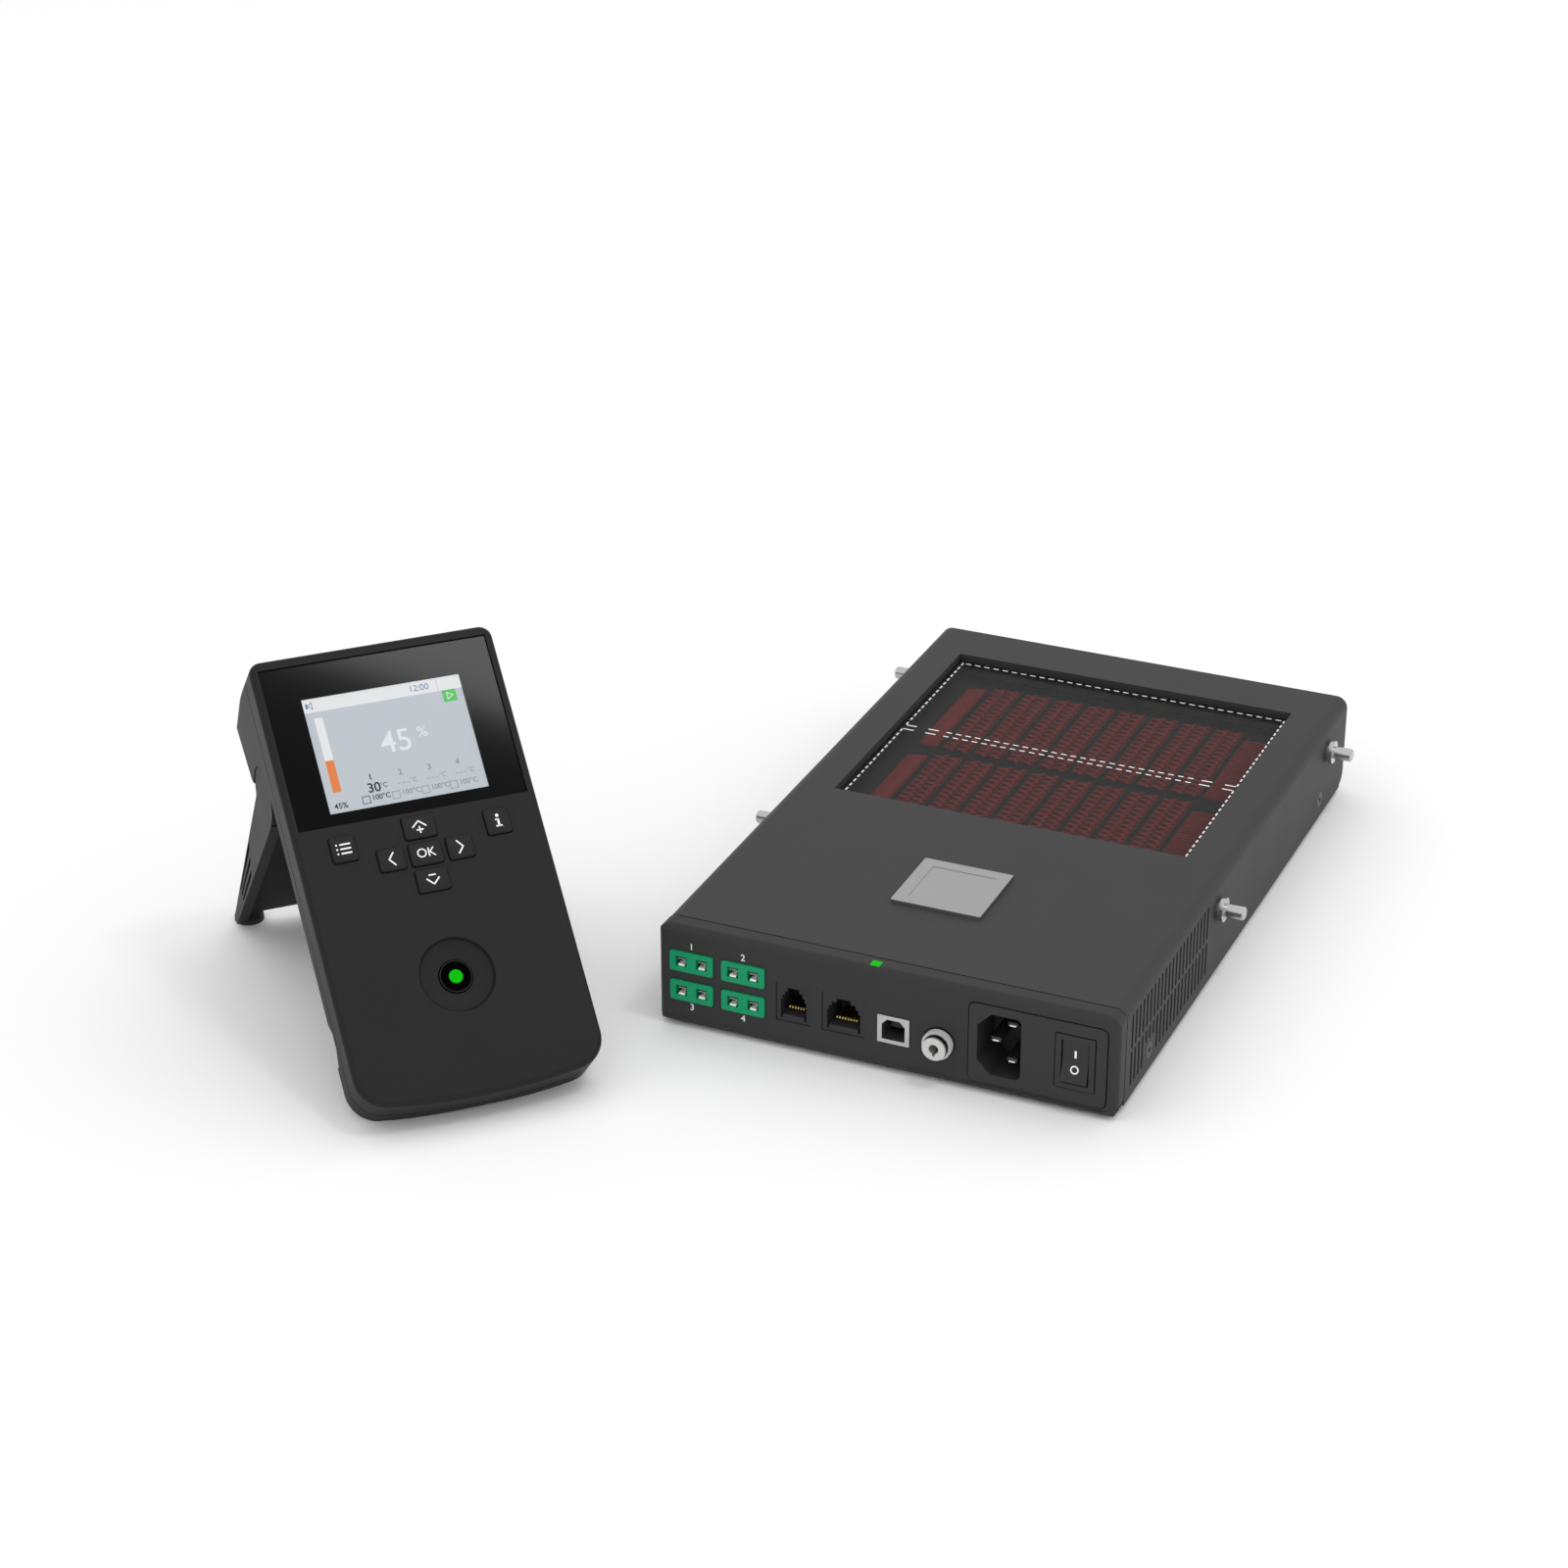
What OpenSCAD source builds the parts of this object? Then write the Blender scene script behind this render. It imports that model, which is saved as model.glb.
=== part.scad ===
// Board preheater set: a flat infrared heater unit and a hand-size control console
// that leans on a folding stand. Millimetres, +Z up, table at Z = 0.
// X runs along the heater's connector panel, Y runs away from it.

/* [Heater housing] */
// width of the heater housing, without the side studs
heater_w = 170; // [168:1:184]
// length from the front cap's face to the rear wall
heater_l = 272; // [271:1:300]
// height of the top face above the table
heater_h = 40; // [39.5:0.5:46]
// thickness of the folded sheet of cover and base tray
sheet = 1.5; // [1.2:0.1:1.8]
// outside bend radius of the cover's long top edges
edge_r = 4.6; // [4:0.1:6]
// depth of the moulded front cap ahead of the cover's seam
cap_d = 7.3; // [7:0.1:9]
// wall thickness of the front cap
cap_t = 3; // [2.6:0.1:3.4]
// rounding of the front cap's face edges
cap_edge = 2.6; // [1.5:0.1:3]
// height of the front cap's lower edge above the table
cap_z = 2; // [1.8:0.1:2.2]
// width of the seam between cap and cover
seam = 0.6; // [0.3:0.1:0.8]

/* [Heating window] */
// width of the window opening
win_w = 137.6; // [120:0.1:140]
// length of the window opening
win_l = 129.8; // [110:0.1:130]
// distance from the window's far edge to the rear wall
rear_rim = 22.3; // [20:0.1:30]
// depth of the glass face below the cover's top face
glass_drop = 3; // [2.5:0.1:4]
// thickness of the glass plate
glass_t = 3; // [2:0.1:4]
// overlap of the glass under the cover on each edge
glass_lap = 3; // [2:0.1:4]
// reach of seal and pan beyond the glass
pan_lap = 0.3; // [0.2:0.1:1]
// wall thickness of the element pan
pan_t = 2; // [1.5:0.1:2.2]
// number of wide heating strips in each zone
strip_n = 8; // [6:1:8]
// width of a heating strip
strip_w = 11; // [9:0.1:11.5]
// pitch of the heating strips
strip_pitch = 12.8; // [12:0.1:13]
// gap between the two heating zones
zone_gap = 7; // [4:0.1:10]

/* [Side fittings] */
// diameter of a stud's free end
stud_d = 5; // [4:0.1:6]
// reach of a stud beyond the cover's side
stud_out = 10; // [9:0.1:16]
// diameter of a stud's flange
stud_flange_d = 9; // [8:0.1:11]
// height of the studs above the table
stud_z = 28.3; // [26:0.1:30]
// distance of the near studs before the window's near edge
stud_near = 11.7; // [10:0.1:14]
// distance of the far studs before the window's far edge
stud_far = 3.2; // [0:0.1:8]
// thickness of the studs' inside nuts
nut_t = 3; // [2.2:0.1:3.2]
// distance of the first vent slot from the front
vent_y = 13.8; // [12:0.1:16]
// least distance of the last vent slot from the near studs
vent_gap = 12.4; // [8:0.1:20]
// pitch of the vent slots
vent_pitch = 3.9; // [3.5:0.1:4]
// width of a vent slot
vent_w = 1.7; // [1.2:0.1:2]

/* [Top plate] */
// width of the bright square plate
plate_w = 33.8; // [28:0.1:36]
// distance of the plate's middle from the front
plate_y = 62.9; // [50:0.1:70]
// thickness of the plate
plate_t = 1.2; // [0.8:0.1:1.5]
// width of the plate's raised border
plate_rim = 4.9; // [3:0.1:6]

/* [Front connectors] */
// width of a thermocouple socket
tc_w = 16.4; // [15:0.1:17]
// height of a thermocouple socket
tc_h = 7.9; // [7:0.1:8.2]
// width of a thermocouple socket's slot
tc_slot_w = 4.2; // [3.6:0.1:4.4]
// height of a thermocouple socket's slot
tc_slot_h = 3.9; // [3.7:0.1:4.2]
// width of the narrow modular jack
jack_w = 12.7; // [12:0.1:13]
// width of the wide modular jack
jack_wide_w = 15.7; // [15:0.1:16]
// radius of the round jack's barrel
round_r = 4.3; // [4:0.1:4.8]
// reach of the round jack beyond the panel
round_out = 5.4; // [4.5:0.1:7]
// thickness of the round jack's nut
round_nut_t = 2.8; // [2:0.1:3.4]
// tilt of the rocker from its middle position
rocker_tilt = 7; // [5:0.5:8]

/* [Console] */
// width of the console
con_w = 87.8; // [85.2:2.6:95.6]
// length of the console's face
con_l = 166.1; // [165.5:0.1:176]
// depth of the front shell's side
part_d = 10.6; // [10.2:0.1:11]
// thickness of the lower body
con_t = 16.2; // [16:0.1:17.2]
// greatest depth of the head behind the face
head_d = 40.3; // [39:0.1:44]
// groove between the two console shells
con_seam = 0.5; // [0.3:0.1:0.6]
// depth of the display window's face below the console's face
win_drop = 0.9; // [0.2:0.1:1.1]
// width of the display panel
lcd_w = 67; // [60:0.1:68]
// height of the display panel
lcd_h = 49; // [44:0.1:50]
// wall thickness of both console shells
con_wall = 2.2; // [1.8:0.1:2.4]
// rounding of the face's outer edge
face_r = 2; // [1:0.1:2.4]
// rounding of the upper corners
top_r = 4.5; // [3.5:0.1:7]
// reach of a key above the face
key_up = 1; // [0.6:0.1:1.2]
// travel of a key
key_travel = 0.8; // [0.4:0.1:0.8]
// radius of the dish round the start button
dish_r = 13; // [11:0.1:13.5]
// depth of the dish
dish_d = 3; // [2.8:0.1:3.4]
// rounding of the dish's rim
rim_r = 0.8; // [0.4:0.1:0.9]
// radius of the hollow at the foot of the dish's rim
hollow_r = 1.3; // [1:0.1:1.6]
// distance from the middle key to the start button
dish_gap = 44; // [42:0.1:48]
// radius of the start button
start_r = 5.8; // [5:0.1:6]

/* [Folding stand] */
// distance of the hinge axis from the face's lower end
hinge_y = 126.3; // [125:0.1:128]
// depth of the hinge axis behind the face
hinge_d = 27.6; // [27.4:0.1:28.6]
// wall thickness of the stand's side flanges
flange_t = 4; // [3:0.1:4.5]
// radius of a stand foot
foot_r = 5.4; // [4.6:0.1:5.6]
// thickness of a stand foot's rubber pad
pad_t = 1.8; // [1:0.1:2.4]
// slope of the flange's inner edge
flange_slope = 2.5; // [2:0.1:3]

/* [Placing of the set] */
// lean of the console's face from the table
con_tilt = 44.2; // [43.5:0.1:45]
// turn of the console about the vertical
con_yaw = 45.88; // [40:0.1:50]
// middle of the console's lower face edge, across the heater's middle line
con_x = -108.6; // [-125:0.1:-105]
// middle of the console's lower face edge, from the heater's front face
con_y = -83.66; // [-95:0.1:-70]
// heater's middle line from the middle of the whole set
heater_x = 83.544;
// heater's front face from the middle of the whole set
heater_y = -81.257;

/* [Hidden] */
$fn = 48;
e = 1;
fit = 0.05;
hw = heater_w / 2;
cover_z = cap_z + 1.9;
tray_z = cover_z - sheet;
seam_y = cap_d + seam;
win_y = heater_l - rear_rim - win_l;
stud_y = win_y - stud_near;
stud_y2 = win_y + win_l - stud_far;
vent_n = 1 + floor((stud_y - vent_gap - vent_y) / vent_pitch);
glass_z = heater_h - glass_drop;
pan_z = tray_z + sheet + 2.1;
strip_z = glass_z - glass_t - 3;
zone_l = (win_l - zone_gap - 4.8) / 2;
board_z = tray_z + sheet + 5;
board_t = 1.6;
board_in = 7;
board_end = win_y - glass_lap - 9;
board_top = board_z + board_t;
tc_xs = [-hw + 12.85, -hw + 32.5];
tc_zs = [26.6, 15];
tc_pin = 3.85;
tc_in = 12;
tc_back = 3;
blade_w = 2.4;
blade_t = 0.7;
blade_low = 1.75;
jack_x = -33.65;
jack_wide_x = -14.85;
usb_x = 3.9;
usb_z = 17.35;
round_x = 20.7;
round_z = 16.6;
inlet_w = 49.5;
inlet_h = 30.5;
inlet_side = 4.1;
inlet_x = hw - inlet_side - inlet_w / 2;
inlet_z = 20.2;
flange_z = inlet_z - 0.25;
flange_corner = 2.4;
socket_x = inlet_x - 13.75;
switch_x = inlet_x + 13.6;
bezel_w = 14;
bezel_h = 20.6;
bezel_gap = 0.4;
well_w = 10;
well_h = 16.8;
pivot_y = 2.2;
led_x = -4.2;
screw_ys = [33.8, heater_l - 32.2];
screw_l = 4.4;
screw_r = 1.5;
nut_r = 4.04;
rest_x = hw - 20;
rest_ys = [26, heater_l - 22];
inlet_d = 22;
inlet_room = 10;
post_in = 7;
post_end = 11.9;
post_near = 26;
wire_z = 15;
wire_t = 0.5;
screw_z = 10.5;
chin_d = con_t + 2;
chin_r = 4;
chin_y = 23.5;
con_hw = con_w / 2;
con_lift = chin_r + cos(con_tilt) * (chin_d - chin_r) - sin(con_tilt) * chin_r;
low_r = 11.4;
low_x = con_hw - low_r;
arch_r = low_r + low_x * 85 / 13;
low_y = arch_r - low_x * 84 / 13;
win_top = con_l - 3.7;
win_cw = con_w - 5.8;
win_ch = 59.8;
win_low = win_top - win_ch;
key_gap = 15.6;
key_y = win_low - key_gap;
dish_y = key_y - dish_gap;
lcd_low = win_low + 2.5;
lcd_z = -8;
card_hw = con_hw - 9.9;
card_low = dish_y - dish_r - 4;
card_top = con_l - top_r - 1.5;
mat_end = 15;
mat_t = 1.4;
dome_t = 2.9;
post_ys = [dish_y - 3, key_y + 5];
win_t = 1.8 - win_drop;
knuckle_r = hinge_d - con_t - 0.6;
head_low_y = hinge_y + 10.3;
head_low_d = head_d - 3.3;
head_top_y = con_l - 8.3;
stand_hw = con_hw - 0.3;
lug_r = 6;
lug_t = 5;
lug_x = stand_hw - flange_t - 0.4 - lug_t;
pin_r = 2.2;
foot_b = -12.7;
foot_a = (con_lift + sin(con_tilt) * (hinge_y + foot_b)) / cos(con_tilt) - hinge_d;
foot_x = stand_hw - foot_r - 0.6;
plate_a = foot_a - 8.5;
plate_b = lug_r + 0.2;
screw_top_y = con_l - 15.6;

// the two units' own frames
module at_heater() translate([heater_x, heater_y, 0]) children();
module at_console()
  translate([heater_x + con_x, heater_y + con_y, con_lift])
    rotate([0, 0, con_yaw]) rotate([con_tilt, 0, 0]) children();

// rounded rectangle about its middle
module rounded(w, h, r) {
  square([w - 2 * r, h], center = true);
  square([w, h - 2 * r], center = true);
  for (i = [-1, 1], j = [-1, 1]) translate([i * (w / 2 - r), j * (h / 2 - r)]) circle(r);
}

// shape in the panel's plane, drawn through the depth y0 to y1
module through(x, z, y0, y1)
  translate([x, y1, z]) rotate([90, 0, 0]) linear_extrude(y1 - y0) children();

// box by its limits
module box(x0, x1, y0, y1, z0, z1)
  translate([x0, y0, z0]) cube([x1 - x0, y1 - y0, z1 - z0]);

// end view of the cover, inset by i, open below
module cover_view(i) {
  w = hw - i;
  t = heater_h - i;
  r = edge_r - i;
  translate([-w, cover_z]) square([2 * w, t - r - cover_z]);
  translate([r - w, cover_z]) square([2 * (w - r), t - cover_z]);
  for (s = [-1, 1]) translate([s * (w - r), t - r]) circle(r);
}

// strip with its two near corners rounded
module near_round(w, d, r) {
  translate([-w / 2, r]) square([w, d - r]);
  translate([r - w / 2, 0]) square([w - 2 * r, d]);
  for (s = [-1, 1]) translate([s * (w / 2 - r), r]) circle(r);
}

// folded cover: window opening, vents, stud and screw holes
module top_cover() color([0.29, 0.29, 0.29]) at_heater() difference() {
  through(0, 0, seam_y, heater_l) cover_view(0);
  through(0, 0, seam_y - e, heater_l + e) cover_view(sheet);
  box(sheet - hw, hw - sheet, seam_y - e, heater_l + e, cover_z - e, cover_z + e);
  box(-win_w / 2, win_w / 2, win_y, win_y + win_l, heater_h - 2 * sheet, heater_h + e);
  for (s = [-1, 1]) {
    for (k = [0 : vent_n - 1]) vent(s, vent_y + k * vent_pitch);
    for (y = [stud_y, stud_y2])
      translate([s * (hw - sheet - e), y, stud_z]) rotate([0, s * 90, 0])
        cylinder(h = sheet + 2 * e, r = 2 + fit);
    for (y = screw_ys)
      translate([s * hw, y, screw_z]) rotate([0, -s * 90, 0]) {
        cylinder(h = 1.3, r1 = 3 + fit, r2 = 1.7 + fit);
        cylinder(h = 4, r = 1.7 + fit);
      }
    rear_corner(s);
  }
}
// one column of two vent slots, short above the near screw
module vent(s, y) {
  x = s * hw - 2 * sheet;
  near = abs(y - screw_ys[0]) < 6;
  box(x, x + 4 * sheet, y - vent_w / 2, y + vent_w / 2, 22, min(35, heater_h - edge_r - 0.3));
  box(x, x + 4 * sheet, y - vent_w / 2, y + vent_w / 2, near ? 15.5 : 7.5, 20.5);
}
// waste outside the rounded rear lower corner of a side
module rear_corner(s) {
  r = 5;
  difference() {
    box(s * hw - 2 * sheet, s * hw + 2 * sheet, heater_l - r, heater_l + e, cover_z - e, cover_z + r);
    translate([s * hw - 3 * sheet, heater_l - r, cover_z + r]) rotate([0, 90, 0])
      cylinder(h = 6 * sheet, r = r);
  }
}

// moulded front cap with rounded face edges and the connector openings
module cap_body() {
  intersection() {
    through(0, (heater_h + cap_z) / 2, 0, cap_d) rounded(heater_w, heater_h - cap_z, edge_r - 0.6);
    translate([0, 0, (heater_h + cap_z) / 2]) rotate([90, 0, 90])
      linear_extrude(heater_w + 2 * e, center = true)
        rotate(-90) near_round(heater_h - cap_z, cap_d + e, cap_edge);
    translate([0, 0, cap_z - e]) linear_extrude(heater_h)
      near_round(heater_w, cap_d + e, cap_edge);
  }
}
module front_cap() color([0.2, 0.2, 0.2]) at_heater() difference() {
  union() {
    difference() {
      cap_body();
      through(0, (heater_h + cap_z) / 2, cap_t, cap_d + e)
        rounded(heater_w - 2 * cap_t, heater_h - cap_z - 2 * cap_t, 1.5);
    }
    through(0, 0, cap_d - 1, cap_d + 6) difference() {
      cover_view(sheet + 0.25);
      cover_view(sheet + 2.2);
      translate([-hw, 0]) square([heater_w, cover_z + 4]);
    }
    box(edge_r + 2 - hw, hw - edge_r - 2, cap_d - 1, cap_d + 6, heater_h - sheet - 2, heater_h - sheet);
  }
  for (x = tc_xs, z = tc_zs) through(x, z, -e, cap_t + e) rounded(tc_w + 0.5, tc_h + 0.5, 1);
  box(jack_x - jack_w / 2 - 0.15, jack_x + jack_w / 2 + 0.15, -e, cap_t + e, 11.35, 26.45);
  box(jack_wide_x - jack_wide_w / 2 - 0.15, jack_wide_x + jack_wide_w / 2 + 0.15, -e, cap_t + e, 11.35, 26.45);
  through(usb_x, usb_z, -e, cap_t + e) rounded(12, 10.9, 0.35);
  through(round_x, round_z, -e, cap_t + e) circle(round_r + fit);
  through(inlet_x, flange_z, -e, 2) rounded(inlet_w + 0.8, inlet_h + 0.8, flange_corner + 0.4);
  box(inlet_x - 23.3, inlet_x + 23.3, -e, cap_t + e, inlet_z - 13.7, inlet_z + 13.7);
  box(led_x - 1.75, led_x + 1.75, 1.85, 5.25, heater_h - 8, heater_h + e);
}

// base tray: floor, side flanges for the screws, rear wall
module base_tray() color([0.35, 0.35, 0.36]) at_heater() difference() {
  w = hw - sheet - 0.2;
  union() {
    box(-w, w, cap_d + 2, heater_l, tray_z, tray_z + sheet);
    for (s = [-1, 1])
      box(min(s * w, s * (w - sheet)), max(s * w, s * (w - sheet)), cap_d + 8, heater_l, tray_z, 16);
    through(0, 0, heater_l - sheet, heater_l) cover_view(sheet + 0.2);
  }
  for (s = [-1, 1]) {
    for (y = screw_ys)
      translate([s * (w + e), y, screw_z]) rotate([0, -s * 90, 0])
        cylinder(h = sheet + 2 * e, r = screw_r + fit);
    for (y = rest_ys)
      translate([s * rest_x, y, tray_z - e]) cylinder(h = sheet + 2 * e, r = 2 + fit);
  }
}

// four rubber feet with stems through the tray
module rubber_feet() color([0.08, 0.08, 0.08]) at_heater()
  for (s = [-1, 1], y = rest_ys) translate([s * rest_x, y, 0]) {
    cylinder(h = tray_z, r = 6);
    cylinder(h = tray_z + sheet, r = 2);
  }

// black seal between cover and glass
module gasket_frame() color([0.03, 0.03, 0.03]) at_heater() difference() {
  l = glass_lap + pan_lap;
  box(-win_w / 2 - l, win_w / 2 + l, win_y - l, win_y + win_l + l, glass_z, heater_h - sheet);
  box(-win_w / 2, win_w / 2, win_y, win_y + win_l, glass_z - e, heater_h);
}

// heat-proof glass plate
module window_glass() color([0.1, 0.1, 0.1, 0.4]) at_heater()
  box(-win_w / 2 - glass_lap, win_w / 2 + glass_lap, win_y - glass_lap,
    win_y + win_l + glass_lap, glass_z - glass_t, glass_z);

// sheet pan that carries the glass and the heating strips
module element_pan() color([0.55, 0.55, 0.54]) at_heater() difference() {
  o = glass_lap + pan_lap;
  box(-win_w / 2 - o, win_w / 2 + o, win_y - o, win_y + win_l + o, pan_z, glass_z - glass_t);
  box(pan_t - win_w / 2 - o, win_w / 2 + o - pan_t, win_y - o + pan_t, win_y + win_l + o - pan_t,
    pan_z + pan_t, glass_z);
}

// fibre board under the strips
module insulation_board() color([0.2, 0.21, 0.2]) at_heater() {
  o = glass_lap + pan_lap - pan_t - 0.1;
  box(-win_w / 2 - o, win_w / 2 + o, win_y - o, win_y + win_l + o, pan_z + pan_t, strip_z);
}

// one zone of flat heating strips, the two edge strips narrow and raised
module strip_zone(y0) {
  half = (strip_n - 1) / 2 * strip_pitch;
  for (k = [0 : strip_n - 1])
    box(k * strip_pitch - half - strip_w / 2, k * strip_pitch - half + strip_w / 2,
      y0, y0 + zone_l, strip_z, strip_z + 1);
  for (s = [-1, 1]) translate([s * (half + strip_pitch - 1.6), 0, 0])
    box(-3.5, 3.5, y0, y0 + zone_l - 3, strip_z, strip_z + 2);
}
module strips_near() color([0.37, 0.2, 0.2]) at_heater() strip_zone(win_y + 2.4);
module strips_far() color([0.37, 0.2, 0.2]) at_heater() strip_zone(win_y + 2.4 + zone_l + zone_gap);

// posts between tray and pan
module pan_posts() color([0.6, 0.6, 0.6]) at_heater()
  for (s = [-1, 1], y = [win_y + 12, win_y + win_l - 12])
    translate([s * (win_w / 2 - 12), y, tray_z + sheet]) cylinder(h = pan_z - tray_z - sheet, r = 4);

// circuit board behind the connectors, cut away round the mains inlet
module control_board() color([0.05, 0.25, 0.12]) at_heater() difference() {
  box(board_in - hw, hw - board_in, cap_d + 1.7, board_end, board_z, board_top);
  box(inlet_x - inlet_w / 2 - 1, hw, 0, inlet_d + inlet_room, board_z - e, board_top + e);
}
module board_posts() color([0.6, 0.6, 0.6]) at_heater()
  for (p = [[post_in + board_in - hw, post_near], [post_in + board_in - hw, board_end - post_end],
    [hw - board_in - post_in, board_end - post_end], [12, 44]])
    translate([p[0], p[1], tray_z + sheet]) cylinder(h = board_z - tray_z - sheet, r = 3);

// spring blade of a thermocouple socket, from depth y0 to y1
module tc_blade(x, z, y0, y1)
  box(x - blade_w / 2, x + blade_w / 2, y0, y1, z - blade_low, z - blade_low + blade_t);
// four flat-pin thermocouple sockets
module tc_sockets() color([0.06, 0.56, 0.38]) at_heater()
  for (x = tc_xs, z = tc_zs) difference() {
    union() {
      through(x, z, -0.6, tc_in) rounded(tc_w, tc_h, 0.8);
      box(x - tc_w / 2 - 0.7, x + tc_w / 2 + 0.7, cap_t, cap_t + 2, z - tc_h / 2 - 0.45, z + tc_h / 2 + 0.45);
    }
    for (s = [-1, 1]) {
      through(x + s * tc_pin, z, -e, tc_in - 4) square([tc_slot_w, tc_slot_h], center = true);
      tc_blade(x + s * tc_pin, z, tc_in - 5, tc_in + 1);
    }
  }
// eight spring blades in the sockets
module tc_contacts() color([0.85, 0.85, 0.83]) at_heater()
  for (x = tc_xs, z = tc_zs, s = [-1, 1]) tc_blade(x + s * tc_pin, z, 0.3, tc_in + tc_back);

// modular jack: opening in steps up to the latch notch, slots at its lower corners
module jack(x, w, steps, wires) {
  slot = 0.8;
  difference() {
    union() {
      box(x - w / 2, x + w / 2, 0.4, 16, 11.5, 26.3);
      box(x - w / 2, x + w / 2, cap_d + 2, 16, board_top, 12);
    }
    for (k = steps) box(x - k[0] / 2, x + k[0] / 2, -e, 13, 14, k[1]);
    for (s = [-1, 1]) translate([x + s * (steps[0][0] - slot) / 2, 0, 0]) box(-slot / 2, slot / 2, -e, 3, 12.5, 14.1);
    box(x - wires / 2, x + wires / 2, 12, 17, wire_z, wire_z + wire_t);
  }
}
module jack_narrow() color([0.06, 0.06, 0.06]) at_heater()
  jack(jack_x, jack_w, [[9.7, 20], [8.4, 21.6], [6.8, 23.2], [4.6, 24.8]], 6.4);
module jack_wide() color([0.06, 0.06, 0.06]) at_heater()
  jack(jack_wide_x, jack_wide_w, [[12.4, 20], [11, 21.6], [9, 23.2], [5.4, 24.8]], 8.4);
// gilt wires of both jacks
module jack_wire(x) box(x - wire_t / 2, x + wire_t / 2, 5, 16, wire_z, wire_z + wire_t);
module jack_contacts() color([0.8, 0.62, 0.2]) at_heater() {
  for (k = [-2.5 : 2.5]) jack_wire(jack_x + k * 1.05);
  for (k = [-3.5 : 3.5]) jack_wire(jack_wide_x + k * 1.05);
}

// square data socket: metal shell and plastic tongue
module usb_hole(i)
  polygon([[i - 4.25, i - 3.9], [4.25 - i, i - 3.9], [4.25 - i, 1.9], [2.3, 3.9 - i], [-2.3, 3.9 - i], [i - 4.25, 1.9]]);
module usb_shell() color([0.8, 0.8, 0.8]) at_heater() {
  difference() {
    through(usb_x, usb_z, -0.4, 16) rounded(11.8, 10.7, 0.3);
    through(usb_x, usb_z, -e, 17) usb_hole(0);
  }
  for (s = [-1, 1])
    box(usb_x + s * 5 - 0.5, usb_x + s * 5 + 0.5, 10, 14, board_top, usb_z - 5);
}
module usb_tongue() color([0.05, 0.05, 0.05]) at_heater() {
  through(usb_x, usb_z, 13, 16) usb_hole(0.02);
  box(usb_x - 2.8, usb_x + 2.8, 5, 13.5, usb_z - 1.6, usb_z + 1.6);
}

// round threaded jack with a keyed bore, and its nut
module round_jack() color([0.75, 0.75, 0.75]) at_heater() difference() {
  union() {
    through(round_x, round_z, -round_out, 12) circle(round_r);
    box(round_x - 6.5, round_x + 6.5, cap_t, 16, board_top, round_z + 6.5);
  }
  through(round_x, round_z, -round_out - e, 12) {
    circle(1.8);
    translate([-0.5, -2.7]) square([1, 2]);
  }
}
module round_nut() color([0.75, 0.75, 0.75]) at_heater()
  through(round_x, round_z, -round_nut_t, 0) difference() {
    circle(round_r + 1.1);
    circle(round_r + fit);
  }

// mains module: flush flange, recessed inlet and switch well
module inlet_view(i)
  polygon([[i - 2.9, 11.85 - i], [6.6 - i, 11.85 - i], [7.9 - i, 10.55 - i], [7.9 - i, i - 10.55],
    [6.6 - i, i - 11.85], [i - 2.9, i - 11.85], [i - 7.9, i - 6.85], [i - 7.9, 6.85 - i]]);
module inlet_frame() color([0.1, 0.1, 0.1]) at_heater() difference() {
  union() {
    through(inlet_x, flange_z, -0.3, 2) rounded(inlet_w, inlet_h, flange_corner);
    box(socket_x - 9.4, socket_x + 9.4, 1, inlet_d, inlet_z - 13.4, inlet_z + 13.4);
    box(switch_x - 8, switch_x + 8, 1, 16, inlet_z - 11.5, inlet_z + 11.5);
    through(switch_x, inlet_z, -0.6, 1) rounded(bezel_w, bezel_h, 0.4);
  }
  through(switch_x, inlet_z, -e, 0.5) difference() {
    rounded(bezel_w + 2 * bezel_gap, bezel_h + 2 * bezel_gap, 0.6);
    rounded(bezel_w, bezel_h, 0.4);
  }
  through(socket_x, inlet_z, -e, 17) inlet_view(0);
  box(switch_x - well_w / 2, switch_x + well_w / 2, -e, 12, inlet_z - well_h / 2, inlet_z + well_h / 2);
  translate([switch_x - 7, pivot_y, inlet_z]) rotate([0, 90, 0]) cylinder(h = 14, r = 1.2 + fit);
  for (p = inlet_blades()) box(socket_x + p[0] - 2, socket_x + p[0] + 2, 16, inlet_d + 1, inlet_z + p[1] - 1, inlet_z + p[1] + 1);
}
function inlet_blades() = [[-2.6, 0], [3.4, 7], [3.4, -7]];
module inlet_pins() color([0.8, 0.8, 0.78]) at_heater()
  for (p = inlet_blades())
    box(socket_x + p[0] - 2, socket_x + p[0] + 2, 6, inlet_d + 5, inlet_z + p[1] - 1, inlet_z + p[1] + 1);

// mains rocker on two side trunnions, upper end pressed in
module rocker() color([0.08, 0.08, 0.08]) at_heater()
  translate([switch_x, pivot_y, inlet_z]) rotate([-rocker_tilt, 0, 0]) {
    rotate([90, 0, 90]) linear_extrude(well_w - 0.8, center = true)
      polygon([[-3.1, 7.7], [-2.1, 0], [-3.1, -7.7], [1.3, -7.7], [4.3, -3], [4.3, 3], [1.3, 7.7]]);
    translate([-6.7, 0, 0]) rotate([0, 90, 0]) cylinder(h = 13.4, r = 1.2);
  }

// light guide flush in the cap's top edge
module status_light() color([0.1, 0.75, 0.1]) at_heater() intersection() {
  box(led_x - 1.75, led_x + 1.75, 1.85, 5.25, heater_h - 8, heater_h + e);
  cap_body();
}

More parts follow.
